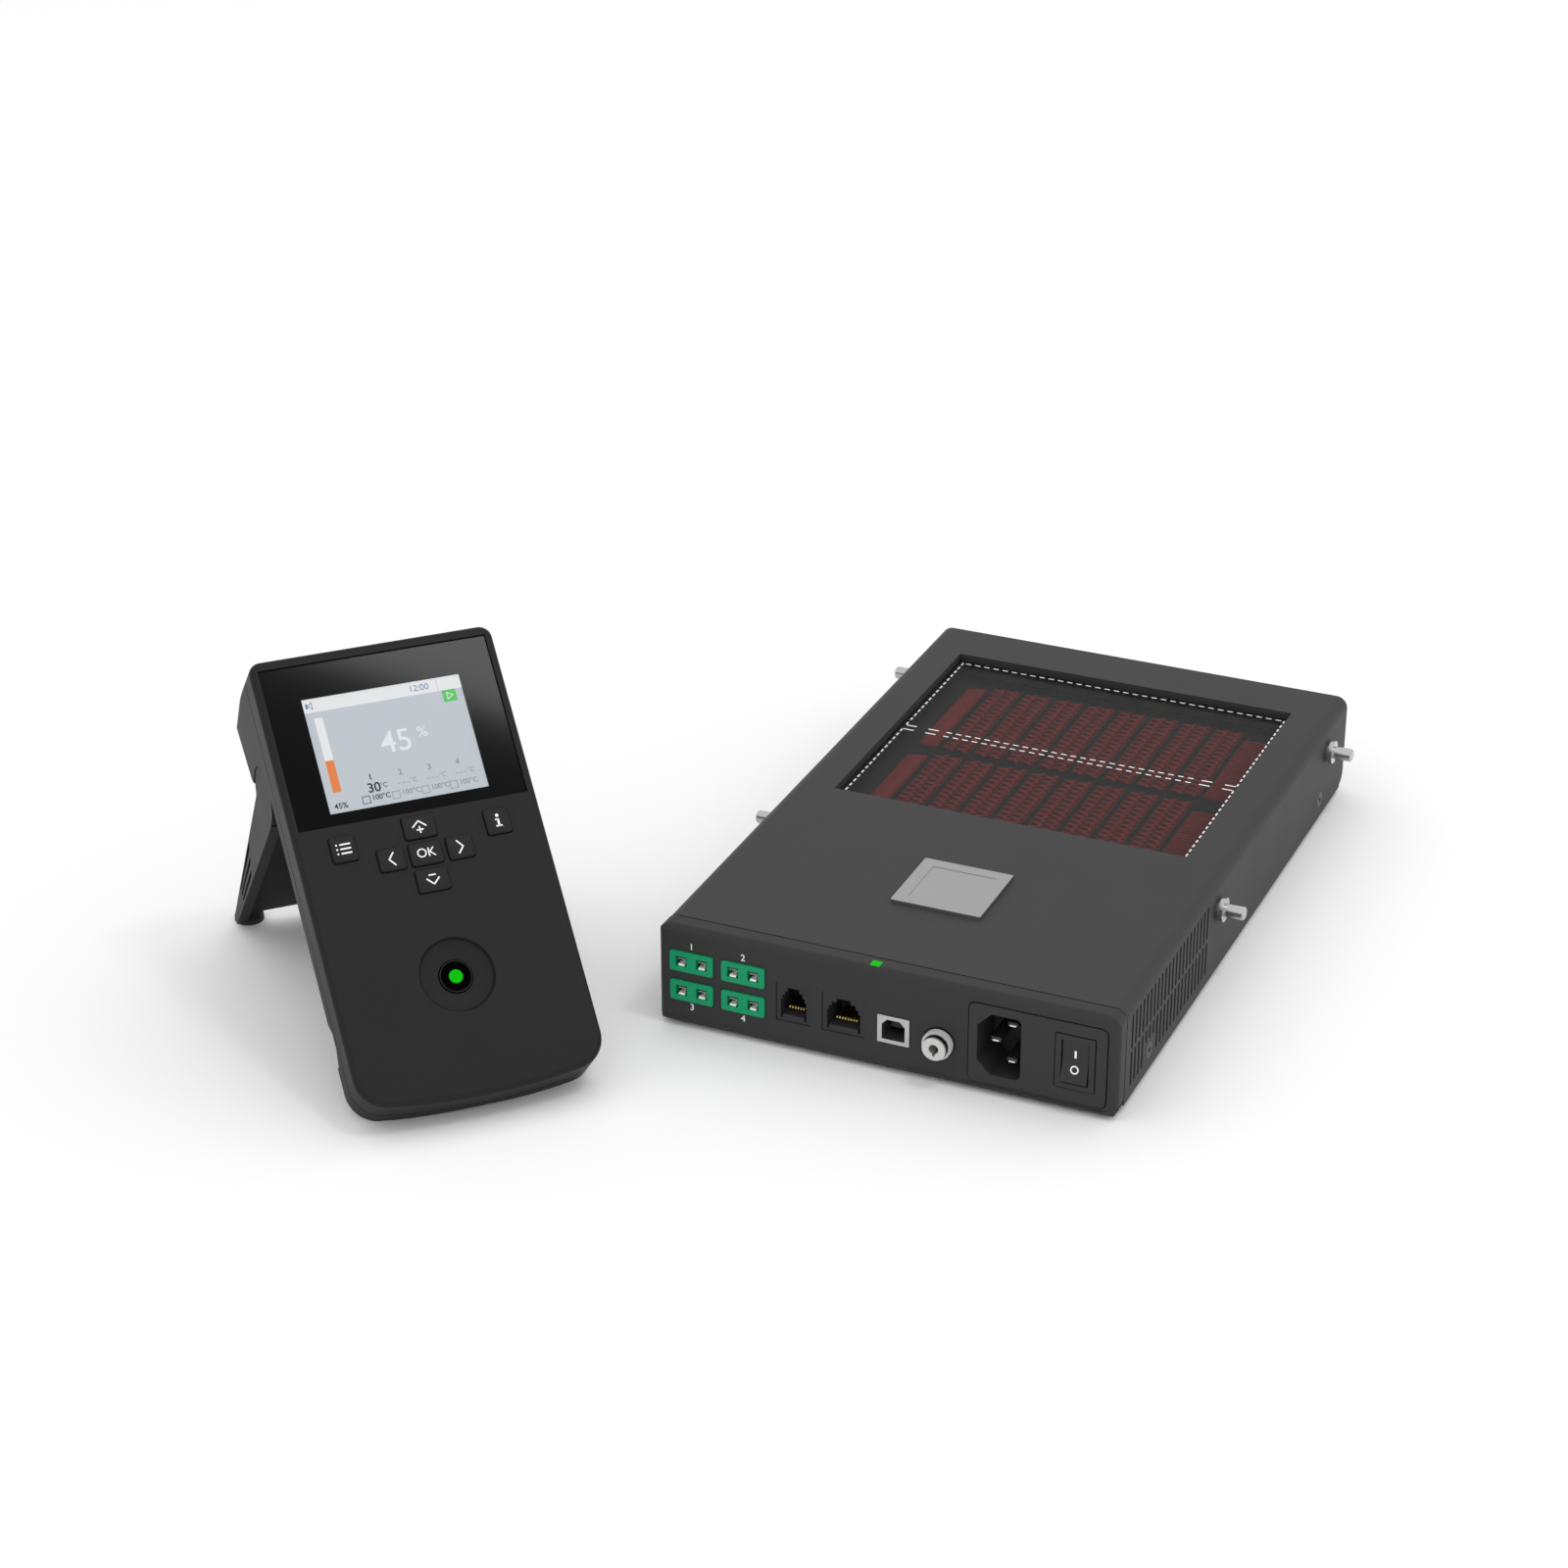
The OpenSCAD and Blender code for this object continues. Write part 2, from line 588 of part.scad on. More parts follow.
// board-holder studs on both sides, with their inside nuts
module side_studs() color([0.8, 0.8, 0.8]) at_heater()
  for (s = [-1, 1], y = [stud_y, stud_y2])
    translate([s * hw, y, stud_z]) rotate([0, s * 90, 0]) {
      translate([0, 0, -sheet - nut_t]) cylinder(h = sheet + nut_t + e, r = 2);
      cylinder(h = 1.1 + e, r = stud_flange_d / 2 - 1.2);
      translate([0, 0, 1.1]) cylinder(h = 1.6, r = stud_flange_d / 2);
      cylinder(h = stud_out - 0.6, r = stud_d / 2);
      translate([0, 0, stud_out - 0.6]) cylinder(h = 0.6, r1 = stud_d / 2, r2 = stud_d / 2 - 0.6);
    }
module stud_nuts() color([0.7, 0.7, 0.7]) at_heater()
  for (s = [-1, 1], y = [stud_y, stud_y2])
    translate([s * (hw - sheet), y, stud_z]) rotate([0, -s * 90, 0]) difference() {
      cylinder(h = nut_t, r = nut_r, $fn = 6);
      translate([0, 0, -e]) cylinder(h = 6, r = 2 + fit);
    }

// bright square plate with a shallow inner field
module top_plate() color([0.72, 0.72, 0.72]) at_heater() translate([0.5, plate_y, heater_h]) difference() {
  linear_extrude(plate_t) rounded(plate_w, plate_w, 0.6);
  translate([0, 0, plate_t - 0.15]) linear_extrude(1) square(plate_w - 2 * plate_rim, center = true);
}

// countersunk screws through the cover into the tray
module cover_screws() color([0.3, 0.3, 0.3]) at_heater()
  for (s = [-1, 1], y = screw_ys)
    translate([s * hw, y, screw_z]) rotate([0, -s * 90, 0]) difference() {
      union() {
        cylinder(h = 1.3, r1 = 3, r2 = 1.7);
        cylinder(h = screw_l, r = screw_r);
      }
      translate([0, 0, -e]) cylinder(h = 1.8, r = 1, $fn = 6);
    }

// parts of the lower outline: the arch, whose end rays lean 13 in 84, and a corner next to it
module arch_sector()
  polygon([[low_x, low_y + 12], [low_x, low_y], [low_x + 6.5, low_y - 42],
    [-low_x - 6.5, low_y - 42], [-low_x, low_y], [-low_x, low_y + 12]]);
module corner_sector()
  polygon([[low_x, low_y], [low_x + 6.5, low_y - 42], [con_hw + e, low_y - 42], [con_hw + e, low_y]]);

// console outline in its face plane, inset by i
module face_view(i) {
  w = con_hw - i;
  t = con_l - i;
  r = top_r - i;
  translate([-w, low_y]) square([2 * w, t - r - low_y]);
  translate([r - w, low_y]) square([2 * (w - r), t - low_y]);
  for (s = [-1, 1]) {
    translate([s * (w - r), t - r]) circle(r);
    translate([s * low_x, low_y]) circle(low_r - i);
  }
  intersection() {
    translate([0, arch_r]) circle(arch_r - i, $fn = 360);
    arch_sector();
  }
}

// edge of the front shell in section: k wide, outer corner rounded at the face
module edge_view(k) {
  translate([-k, -part_d]) square([k, part_d - face_r]);
  translate([-k, -part_d]) square([k - face_r, part_d]);
  translate([-face_r, -face_r]) circle(face_r);
}

// outer body of the front shell, its face edge rounded all the way round
module front_body() {
  tx = con_hw - top_r;
  ty = con_l - top_r;
  box(-low_x, low_x, low_y, ty, -part_d, 0);
  for (s = [0, 1]) mirror([s, 0, 0]) {
    translate([con_hw, ty, 0]) rotate([90, 0, 0]) linear_extrude(ty - low_y) edge_view(low_r);
    translate([tx, ty, 0]) rotate_extrude(angle = 90) translate([top_r, 0]) edge_view(top_r);
    intersection() {
      translate([low_x, low_y, 0]) rotate_extrude() translate([low_r, 0]) edge_view(low_r);
      translate([0, 0, -part_d - e]) linear_extrude(part_d + 2 * e) corner_sector();
    }
  }
  translate([-tx, con_l, 0]) rotate([90, 0, 90]) linear_extrude(2 * tx) edge_view(top_r);
  intersection() {
    translate([0, arch_r, 0]) rotate_extrude($fn = 360) translate([arch_r, 0]) edge_view(arch_r);
    translate([0, 0, -part_d - e]) linear_extrude(part_d + 2 * e) arch_sector();
  }
}

// keys: middle x, middle y, width, height
function key_list() = [[-27.5, key_y + 6.7, 8.8, 9.2], [0.1, key_y + 9.7, 11.4, 8.2], [-12.2, key_y, 9.2, 8.2],
  [0.1, key_y, 11.4, 8.2], [12.4, key_y, 9.2, 8.2], [0.1, key_y - 9.8, 11.4, 8.2], [27.6, key_y + 6.7, 8.8, 9.2]];
function boss_list() = [[con_hw - 9.5, 14.5], [con_hw - 5.5, screw_top_y]];

// front shell: window seat, key openings, dish, screw bosses
module console_front() color([0.2, 0.2, 0.2]) at_console() difference() {
  union() {
    difference() {
      front_body();
      translate([0, 0, -part_d - e]) linear_extrude(part_d + e - con_wall) face_view(con_wall);
    }
    translate([0, dish_y, -7.2]) cylinder(h = 6, r = dish_r + 2.5);
    for (s = [-1, 1], p = boss_list())
      translate([s * p[0], p[1], -part_d]) cylinder(h = part_d - 1, r = 3);
  }
  translate([0, win_low + win_ch / 2, -1.8]) linear_extrude(3) square([win_cw + 0.2, win_ch + 0.2], center = true);
  box(-lcd_w / 2 - 0.5, lcd_w / 2 + 0.5, lcd_low - 0.5, lcd_low + lcd_h + 0.5, -con_wall - e, 0);
  for (k = key_list())
    translate([k[0], k[1], -con_wall - e]) linear_extrude(con_wall + 2 * e) rounded(k[2] + 0.5, k[3] + 0.5, 1.2);
  translate([0, dish_y, 0]) dish();
  translate([0, dish_y, -8]) cylinder(h = 8, r = start_r + 0.3);
  translate([0, dish_y, -8]) cylinder(h = 8 - 5.4, r = start_r + 1.3);
  for (s = [-1, 1], p = boss_list())
    translate([s * p[0], p[1], -part_d - e]) cylinder(h = part_d + e - 2.2, r = 1.4 + fit);
}
// waste in the dish: rounded rim, hollow below it, shallow cone down to the button
module dish() rotate_extrude($fn = 96) {
  rim_z = 0.05 - rim_r;
  difference() {
    translate([dish_r, rim_z]) square([rim_r, rim_r + e]);
    translate([dish_r + rim_r, rim_z]) circle(rim_r);
  }
  translate([dish_r - hollow_r, rim_z]) circle(hollow_r);
  polygon([[0, e], [0, -dish_d], [start_r + 0.6, -dish_d], [dish_r - hollow_r, rim_z - hollow_r],
    [dish_r, rim_z], [dish_r, e]]);
}

// side view of the rear shell in depth and height, inset by i
module rear_view(i) {
  d = chin_d - i;
  r = chin_r - i;
  translate([part_d, i]) square([d - part_d - r, chin_y - i]);
  translate([part_d, i + r]) square([d - part_d, chin_y - 2 * i - r]);
  translate([d - r, i + r]) circle(r);
  translate([part_d, i + r + 5]) square([con_t - i - part_d, hinge_y + 15 - r]);
  difference() {
    polygon([[part_d, hinge_y + i], [hinge_d, hinge_y + i], [head_low_d - i, head_low_y + i],
      [head_d - i, head_top_y - i], [part_d, con_l - i]]);
    translate([hinge_d, hinge_y]) circle(knuckle_r + 0.3 + i);
  }
}

// rear shell: deep head, hinge lugs, finger notches, chin that rests on the table
module rear_body() intersection() {
  union() {
    translate([0, 0, -head_d - e]) linear_extrude(head_d + e - part_d - con_seam) face_view(0);
    translate([0, 0, -part_d - con_seam]) linear_extrude(con_seam) face_view(con_seam);
  }
  rotate([0, 90, 0]) linear_extrude(con_w + 2 * e, center = true) rear_view(0);
}
module console_rear() color([0.22, 0.22, 0.22]) at_console() difference() {
  union() {
    difference() {
      rear_body();
      intersection() {
        translate([0, 0, -head_d - e]) linear_extrude(head_d + 2 * e - part_d) face_view(con_wall);
        rotate([0, 90, 0]) linear_extrude(con_w, center = true) {
          rear_view(con_wall);
          translate([part_d - e, con_wall]) square([e + 0.5, con_l - 2 * con_wall]);
        }
      }
    }
    for (s = [-1, 1]) {
      translate([s * (lug_x + lug_t / 2), 0, 0]) rotate([0, 90, 0]) linear_extrude(lug_t, center = true) {
        translate([hinge_d, hinge_y]) circle(lug_r);
        translate([con_t - 1, hinge_y]) square([hinge_d + lug_r - con_t + 1, knuckle_r + 1]);
      }
    }
    for (s = [-1, 1], y = post_ys) translate([s * (card_hw - 6), y, -con_t + 1]) cylinder(h = con_t - 10.6, r = 2.5);
    intersection() {
      rear_body();
      for (s = [-1, 1], p = boss_list()) translate([s * p[0], p[1], -head_d]) cylinder(h = head_d, r = 5);
    }
  }
  for (s = [-1, 1]) {
    translate([s * (lug_x + lug_t / 2), 0, 0]) rotate([0, 90, 0]) linear_extrude(lug_t + 2, center = true)
      translate([hinge_d, hinge_y]) circle(pin_r + fit);
    translate([s * (con_hw - 5), 0, 0]) rotate([0, 90, 0]) linear_extrude(12, center = true)
      polygon([[13.1, 29], [13.1, 34.5], [con_t, 38.5], [con_t + 5, 38.5], [con_t + 5, chin_y], [con_t, chin_y]]);
    for (p = boss_list()) translate([s * p[0], p[1], 0]) {
      translate([0, 0, -con_t - e]) cylinder(h = con_t + e, r = 1.4 + fit);
      translate([0, 0, -head_d - e]) cylinder(h = head_d + e - 14, r = 2.9);
    }
  }
}

// black display window and the panel behind it
module display_window() color([0.03, 0.03, 0.03]) at_console()
  translate([0, win_low + win_ch / 2, -1.8]) linear_extrude(win_t) square([win_cw, win_ch], center = true);
module display_panel() color([0.7, 0.75, 0.8]) at_console()
  box(-lcd_w / 2, lcd_w / 2, lcd_low, lcd_low + lcd_h, lcd_z, -1.8);

// board with the key domes' pad on it
module console_board() color([0.05, 0.25, 0.12]) at_console()
  box(-card_hw, card_hw, card_low, card_top, lcd_z - board_t, lcd_z);
module key_pad() color([0.3, 0.3, 0.3]) at_console() difference() {
  union() {
    box(0.5 - card_hw, card_hw - 0.5, key_y - mat_end, win_low + 1.5, lcd_z, lcd_z + mat_t);
    for (k = key_list()) translate([k[0], k[1], lcd_z + 1]) cylinder(h = dome_t - 1, r = 2.6);
  }
  translate([0, dish_y, -9]) cylinder(h = 6, r = dish_r + 4);
}

// key cap with a rim behind the shell's face
module key_cap(n) {
  k = key_list()[n];
  color([0.1, 0.1, 0.1]) at_console() translate([k[0], k[1], 0]) {
    translate([0, 0, -4]) linear_extrude(4 + key_up) rounded(k[2], k[3], 1);
    translate([0, 0, -3.3 - con_wall + 2.2]) linear_extrude(0.9) rounded(k[2] + 1.1, k[3] + 1.1, 1);
  }
}
module key_menu() key_cap(0);
module key_up_arrow() key_cap(1);
module key_left_arrow() key_cap(2);
module key_ok() key_cap(3);
module key_right_arrow() key_cap(4);
module key_down_arrow() key_cap(5);
module key_info() key_cap(6);

// start button at the bottom of the dish, lit lens in its middle
module start_button() color([0.03, 0.03, 0.03]) at_console() translate([0, dish_y, 0]) difference() {
  union() {
    translate([0, 0, -6.6]) cylinder(h = 4, r = start_r);
    translate([0, 0, -6.6]) cylinder(h = 1, r = start_r + 0.9);
  }
  translate([0, 0, -5]) cylinder(h = 3, r = 2.4 + fit);
}
module start_lens() color([0.1, 0.8, 0.1]) at_console()
  translate([0, dish_y, -5]) cylinder(h = 2.5, r = 2.4);

// lower and outer edge of the stand's flange at distance a from the hinge axis
function flange_low(a) = -(hinge_d - con_t - 0.15) / cos(flange_slope) - a * tan(flange_slope);
function flange_top(a) = 4.6 - (a - 10.5) * 0.195;
// point of the flange at distance a, fraction f down from its outer edge
function flange_at(a, f) = [a, flange_top(a) * (1 - f) + flange_low(a) * f];

// stand's own side view: a along the stand, b across it
module stand_side(w, x)
  translate([x, hinge_y, -hinge_d]) rotate([0, 90, 0]) linear_extrude(w, center = true) children();

// upright at a foot's place on the table
module at_foot(s)
  translate([s * foot_x, hinge_y + foot_b, -hinge_d - foot_a]) rotate([-con_tilt, 0, 0]) children();

// folding stand: two tapered side flanges with slits, a wide plate, foot sleeves
module stand() color([0.22, 0.22, 0.22]) at_console() difference() {
  union() {
    for (s = [-1, 1]) {
      stand_side(flange_t, s * (stand_hw - flange_t / 2)) {
        circle(knuckle_r);
        polygon([[0, flange_low(0)], [foot_a - 4.5, flange_low(foot_a - 4.5)],
          [foot_a - 4.5, flange_top(foot_a - 4.5)], [10.5, flange_top(10.5)], [0, knuckle_r - 0.1]]);
      }
      intersection() {
        at_foot(s) translate([0, 0, pad_t]) cylinder(h = 12 - pad_t, r = foot_r);
        stand_side(2 * foot_r + 2, s * foot_x) polygon([[foot_a - 40, flange_top(foot_a - 40) - 0.3],
          [foot_a + 12, flange_top(foot_a + 12) - 0.3], [foot_a + 12, foot_b - 30], [foot_a - 40, foot_b - 30]]);
      }
    }
    stand_side(2 * (stand_hw - flange_t) + 1, 0)
      polygon([[plate_b, flange_top(plate_b)], [plate_a, flange_top(plate_a)], [plate_a, flange_top(plate_a) - 2.3],
        [plate_b, flange_top(plate_b) - 2.3]]);
  }
  for (s = [-1, 1]) {
    stand_side(6.2, s * (stand_hw - flange_t)) circle(pin_r + fit);
    for (k = [0 : 2])
      stand_side(flange_t + 1, s * (stand_hw - flange_t / 2)) polygon([
        flange_at(40 + 4 * k, 0.06 + 0.31 * k), flange_at(74, 0.1 + 0.3 * k),
        flange_at(73, 0.24 + 0.3 * k), flange_at(42 + 4 * k, 0.21 + 0.31 * k)]);
    at_foot(s) translate([0, 0, pad_t - 12]) cylinder(h = 12, r = foot_r + 0.1);
  }
}

// hinge pins through lugs and flanges
module hinge_pins() color([0.7, 0.7, 0.7]) at_console()
  for (s = [-1, 1]) stand_side(lug_t + 3, s * (lug_x + (lug_t + 3) / 2)) circle(pin_r);

// rubber feet of the stand, flat on the table
module stand_feet() color([0.06, 0.06, 0.06]) at_console()
  for (s = [-1, 1]) at_foot(s) cylinder(h = pad_t, r = foot_r);

// screws that join the two shells
module console_screws() color([0.3, 0.3, 0.3]) at_console()
  for (s = [-1, 1], p = boss_list()) translate([s * p[0], p[1], 0]) {
    translate([0, 0, -16]) cylinder(h = 2, r = 2.6);
    translate([0, 0, -15]) cylinder(h = 10, r = 1.4);
  }

top_cover();
front_cap();
base_tray();
rubber_feet();
gasket_frame();
window_glass();
element_pan();
insulation_board();
strips_near();
strips_far();
pan_posts();
control_board();
board_posts();
tc_sockets();
tc_contacts();
jack_narrow();
jack_wide();
jack_contacts();
usb_shell();
usb_tongue();
round_jack();
round_nut();
inlet_frame();
inlet_pins();
rocker();
status_light();
side_studs();
stud_nuts();
top_plate();
cover_screws();
console_front();
console_rear();
display_window();
display_panel();
console_board();
key_pad();
key_menu();
key_up_arrow();
key_left_arrow();
key_ok();
key_right_arrow();
key_down_arrow();
key_info();
start_button();
start_lens();
stand();
hinge_pins();
stand_feet();
console_screws();
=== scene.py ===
import math

import bpy
from mathutils import Matrix, Vector


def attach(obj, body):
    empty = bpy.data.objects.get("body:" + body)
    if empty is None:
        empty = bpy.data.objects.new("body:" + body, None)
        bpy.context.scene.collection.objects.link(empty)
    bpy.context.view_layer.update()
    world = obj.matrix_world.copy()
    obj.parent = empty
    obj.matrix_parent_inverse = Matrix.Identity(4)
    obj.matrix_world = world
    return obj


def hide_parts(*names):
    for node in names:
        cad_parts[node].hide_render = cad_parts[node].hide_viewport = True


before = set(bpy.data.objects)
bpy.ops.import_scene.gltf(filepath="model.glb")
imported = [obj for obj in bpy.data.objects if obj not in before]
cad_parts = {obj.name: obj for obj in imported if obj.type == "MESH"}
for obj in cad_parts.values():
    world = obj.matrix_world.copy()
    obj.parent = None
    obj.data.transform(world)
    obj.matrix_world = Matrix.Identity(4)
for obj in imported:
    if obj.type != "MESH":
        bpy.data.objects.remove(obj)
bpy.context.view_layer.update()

# Camera, white sweep and soft light, as in a product studio. The lens and stand point come from the
# edges of the two units in the photograph. The light is an even white dome, with one small soft box
# high at the right whose reflection shows in the console's window.
scene = bpy.context.scene
scene.view_settings.view_transform = "Standard"
MM = 0.001
HEATER = Vector((83.544, -81.257, 0.0)) * MM

lens = bpy.data.cameras.new("studio_camera")
lens.lens = 86.85
lens.sensor_width = 36.0
lens.clip_end = 20.0
camera = bpy.data.objects.new("studio_camera", lens)
camera.location = Vector((416.54, -1040.49, 677.60)) * MM + HEATER
camera.rotation_euler = (math.radians(90 - 26.824), 0.0, math.radians(23.555))
scene.collection.objects.link(camera)
scene.camera = camera

world = bpy.data.worlds.new("white_dome")
scene.world = world
world.use_nodes = True
dome = world.node_tree.nodes["Background"]
dome.inputs["Color"].default_value = (1.0, 1.0, 1.0, 1.0)
dome.inputs["Strength"].default_value = 1.0

lamp = bpy.data.lights.new("soft_box", "AREA")
lamp.shape = "RECTANGLE"
lamp.size, lamp.size_y = 0.4, 0.2
lamp.energy = 4.8
soft_box = bpy.data.objects.new("soft_box", lamp)
soft_box.location = (0.871, -0.198, 2.0)
soft_box.rotation_euler = (0.0, 0.0, math.radians(18.8))
scene.collection.objects.link(soft_box)

bpy.ops.object.select_all(action="DESELECT")
bpy.ops.mesh.primitive_plane_add(size=9.0, location=(0.0, 1.0, 0.0))
sweep = bpy.context.active_object
sweep.name = "white_sweep"
paper = bpy.data.materials.new("white_paper")
paper.use_nodes = True
paper_face = paper.node_tree.nodes["Principled BSDF"]
paper_face.inputs["Base Color"].default_value = (0.97, 0.97, 0.97, 1.0)
paper_face.inputs["Roughness"].default_value = 1.0
paper_face.inputs["Specular IOR Level"].default_value = 0.0
sweep.data.materials.append(paper)

# Heater housing: cover and base tray of folded steel sheet with a fine matt powder coat, front cap
# moulded in black plastic with a fine spark-eroded grain. Cover and cap are held to the tray by
# countersunk black screws; the feet and the seal of the glass are matt rubber.
GRAIN_DEPTH = 0.00005


def surface_group():
    """Shader group that varies a colour and a roughness a little and gives a fine grain as height."""
    group = bpy.data.node_groups.new("fine_surface", "ShaderNodeTree")
    inputs = (("Colour", "NodeSocketColor", (0.5, 0.5, 0.5, 1.0)), ("Grain Scale", "NodeSocketFloat", 2500.0),
              ("Mottle Scale", "NodeSocketFloat", 45.0), ("Variation", "NodeSocketFloat", 0.1),
              ("Roughness", "NodeSocketFloat", 0.5), ("Roughness Spread", "NodeSocketFloat", 0.1))
    outputs = (("Colour", "NodeSocketColor"), ("Roughness", "NodeSocketFloat"), ("Height", "NodeSocketFloat"))
    for label, kind, start in inputs:
        group.interface.new_socket(name=label, in_out="INPUT", socket_type=kind).default_value = start
    for label, kind in outputs:
        group.interface.new_socket(name=label, in_out="OUTPUT", socket_type=kind)
    made, link = group.nodes.new, group.links.new
    entry, leave = made("NodeGroupInput"), made("NodeGroupOutput")
    place = made("ShaderNodeTexCoord")
    grain, mottle = made("ShaderNodeTexNoise"), made("ShaderNodeTexNoise")
    grain.inputs["Detail"].default_value = 3.0
    for texture, label in ((grain, "Grain Scale"), (mottle, "Mottle Scale")):
        link(place.outputs["Object"], texture.inputs["Vector"])
        link(entry.outputs[label], texture.inputs["Scale"])

    def sum_of(kind, a, b):
        node = made("ShaderNodeMath")
        node.operation = kind
        for socket, value in zip(node.inputs, (a, b)):
            if isinstance(value, float):
                socket.default_value = value
            else:
                link(value, socket)
        return node.outputs[0]

    both = sum_of("ADD", grain.outputs[0], mottle.outputs[0])
    spread = sum_of("SUBTRACT", both, 1.0)
    tone = sum_of("ADD", sum_of("MULTIPLY", spread, entry.outputs["Variation"]), 1.0)
    shade = made("ShaderNodeVectorMath")
    shade.operation = "SCALE"
    link(entry.outputs["Colour"], shade.inputs[0])
    link(tone, shade.inputs["Scale"])
    link(shade.outputs[0], leave.inputs["Colour"])
    polish = sum_of("MULTIPLY", spread, entry.outputs["Roughness Spread"])
    link(sum_of("ADD", entry.outputs["Roughness"], polish), leave.inputs["Roughness"])
    link(grain.outputs[0], leave.inputs["Height"])
    return group


FINE_SURFACE = surface_group()


def finish(name, colour, rough, metal=0.0, grain=2500.0, mottle=45.0, vary=0.1, spread=0.1, bump=0.1,
           specular=0.5):
    stuff = bpy.data.materials.new(name)
    stuff.use_nodes = True
    net = stuff.node_tree
    face = net.nodes["Principled BSDF"]
    face.inputs["Metallic"].default_value = metal
    face.inputs["Specular IOR Level"].default_value = specular
    body = net.nodes.new("ShaderNodeGroup")
    body.node_tree = FINE_SURFACE
    values = (("Colour", (*colour, 1.0)), ("Grain Scale", grain), ("Mottle Scale", mottle), ("Variation", vary),
              ("Roughness", rough), ("Roughness Spread", spread))
    for label, value in values:
        body.inputs[label].default_value = value
    relief = net.nodes.new("ShaderNodeBump")
    relief.inputs["Strength"].default_value = bump
    relief.inputs["Distance"].default_value = GRAIN_DEPTH
    net.links.new(body.outputs["Colour"], face.inputs["Base Color"])
    net.links.new(body.outputs["Roughness"], face.inputs["Roughness"])
    net.links.new(body.outputs["Height"], relief.inputs["Height"])
    net.links.new(relief.outputs["Normal"], face.inputs["Normal"])
    return stuff


def grey(value):
    return (value, value, value)


def paint(stuff, *names):
    """Gives CAD nodes their material."""
    for name in names:
        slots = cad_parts[name].data.materials
        slots.clear()
        slots.append(stuff)


powder_coat = finish("powder_coat", grey(0.042), 0.55, grain=1800.0, bump=0.25, vary=0.06, specular=0.17)
paint(powder_coat, "top_cover", "base_tray")
cap_plastic = finish("cap_plastic", grey(0.037), 0.5, grain=2600.0, bump=0.2, vary=0.06, specular=0.12)
paint(cap_plastic, "front_cap")
paint(finish("black_zinc", (0.03, 0.03, 0.031), 0.4, metal=0.3, grain=5000.0), "cover_screws", "console_screws")
foot_rubber = finish("foot_rubber", grey(0.022), 0.75, grain=1500.0, bump=0.3)
paint(foot_rubber, "rubber_feet", "gasket_frame", "stand_feet")

# Hidden carriers: pan, posts and nuts of plain steel or brass inside the housing, circuit boards with
# green solder resist, a rubber key pad and a dark fibre board under the heating strips. They show
# only through the glass, the vents and the sockets.
plain_steel = finish("plain_steel", grey(0.42), 0.38, metal=1.0, grain=900.0, vary=0.15)
paint(plain_steel, "element_pan", "pan_posts", "stud_nuts", "hinge_pins")
solder_resist = finish("solder_resist", (0.02, 0.11, 0.05), 0.35, grain=700.0, vary=0.3)
paint(solder_resist, "control_board", "console_board")
paint(finish("post_brass", (0.55, 0.42, 0.18), 0.35, metal=1.0), "board_posts")
paint(finish("pad_rubber", grey(0.1), 0.7), "key_pad")
fibre_board = finish("fibre_board", (0.018, 0.021, 0.0195), 0.9, grain=1200.0, mottle=160.0, vary=0.2, bump=0.2,
                     specular=0.1)
paint(fibre_board, "insulation_board")

# Connectors on the front cap: green and black moulded sockets with gilt wires and a tinned shell,
# a round jack of nickelled brass with its nut, and the black mains module with its rocker. All are
# held in the cap's openings, most of them by the control board behind it.
socket_green = finish("socket_green", (0.004, 0.29, 0.12), 0.42, grain=3000.0, vary=0.08, specular=0.2)
paint(socket_green, "tc_sockets")
socket_black = finish("socket_black", grey(0.03), 0.4, grain=3000.0, vary=0.1, specular=0.2)
paint(socket_black, "jack_narrow", "jack_wide", "usb_tongue")
paint(finish("gilt_wire", (0.25, 0.17, 0.05), 0.35, metal=1.0), "jack_contacts")
paint(finish("tinned_shell", (0.52, 0.52, 0.515), 0.36, metal=1.0, grain=1500.0, vary=0.08), "usb_shell")
paint(finish("satin_nickel", (0.6, 0.6, 0.59), 0.3, metal=0.6, grain=1800.0, vary=0.06), "round_jack")
paint(finish("nut_nickel", (0.6, 0.6, 0.595), 0.42, metal=0.15, grain=1800.0, vary=0.1), "round_nut")
inlet_plastic = finish("inlet_plastic", grey(0.032), 0.42, grain=2600.0, bump=0.15, vary=0.06, specular=0.2)
paint(inlet_plastic, "inlet_frame")
rocker_plastic = finish("rocker_plastic", grey(0.03), 0.36, grain=2600.0, bump=0.1, vary=0.06, specular=0.2)
paint(rocker_plastic, "rocker")

# Bright metal on the housing: four turned steel studs with flanges, held by nuts inside the side walls,
# and a flat square plate of light alloy on the cover, taken as glued because no fixing shows.
paint(finish("stud_steel", grey(0.5), 0.22, metal=1.0, grain=2200.0, vary=0.08), "side_studs")
paint(finish("plate_alloy", grey(0.37), 0.38, metal=1.0, grain=1600.0, vary=0.1), "top_plate")

# Signal lights: clear moulded guides lit from behind by green diodes, one set flush in the cap's top
# edge and one in the middle of the start button.
GREEN_LIGHT, GREEN_LEVEL = (0.0, 0.42, 0.0), 0.2


def lighten(stuff, colour, level):
    face = stuff.node_tree.nodes["Principled BSDF"]
    face.inputs["Emission Color"].default_value = (*colour, 1.0)
    face.inputs["Emission Strength"].default_value = level
    return stuff


signal_green = finish("signal_green", GREEN_LIGHT, 0.35, grain=900.0, vary=0.05, bump=0.0, specular=0.05)
paint(lighten(signal_green, GREEN_LIGHT, GREEN_LEVEL), "status_light", "start_lens")

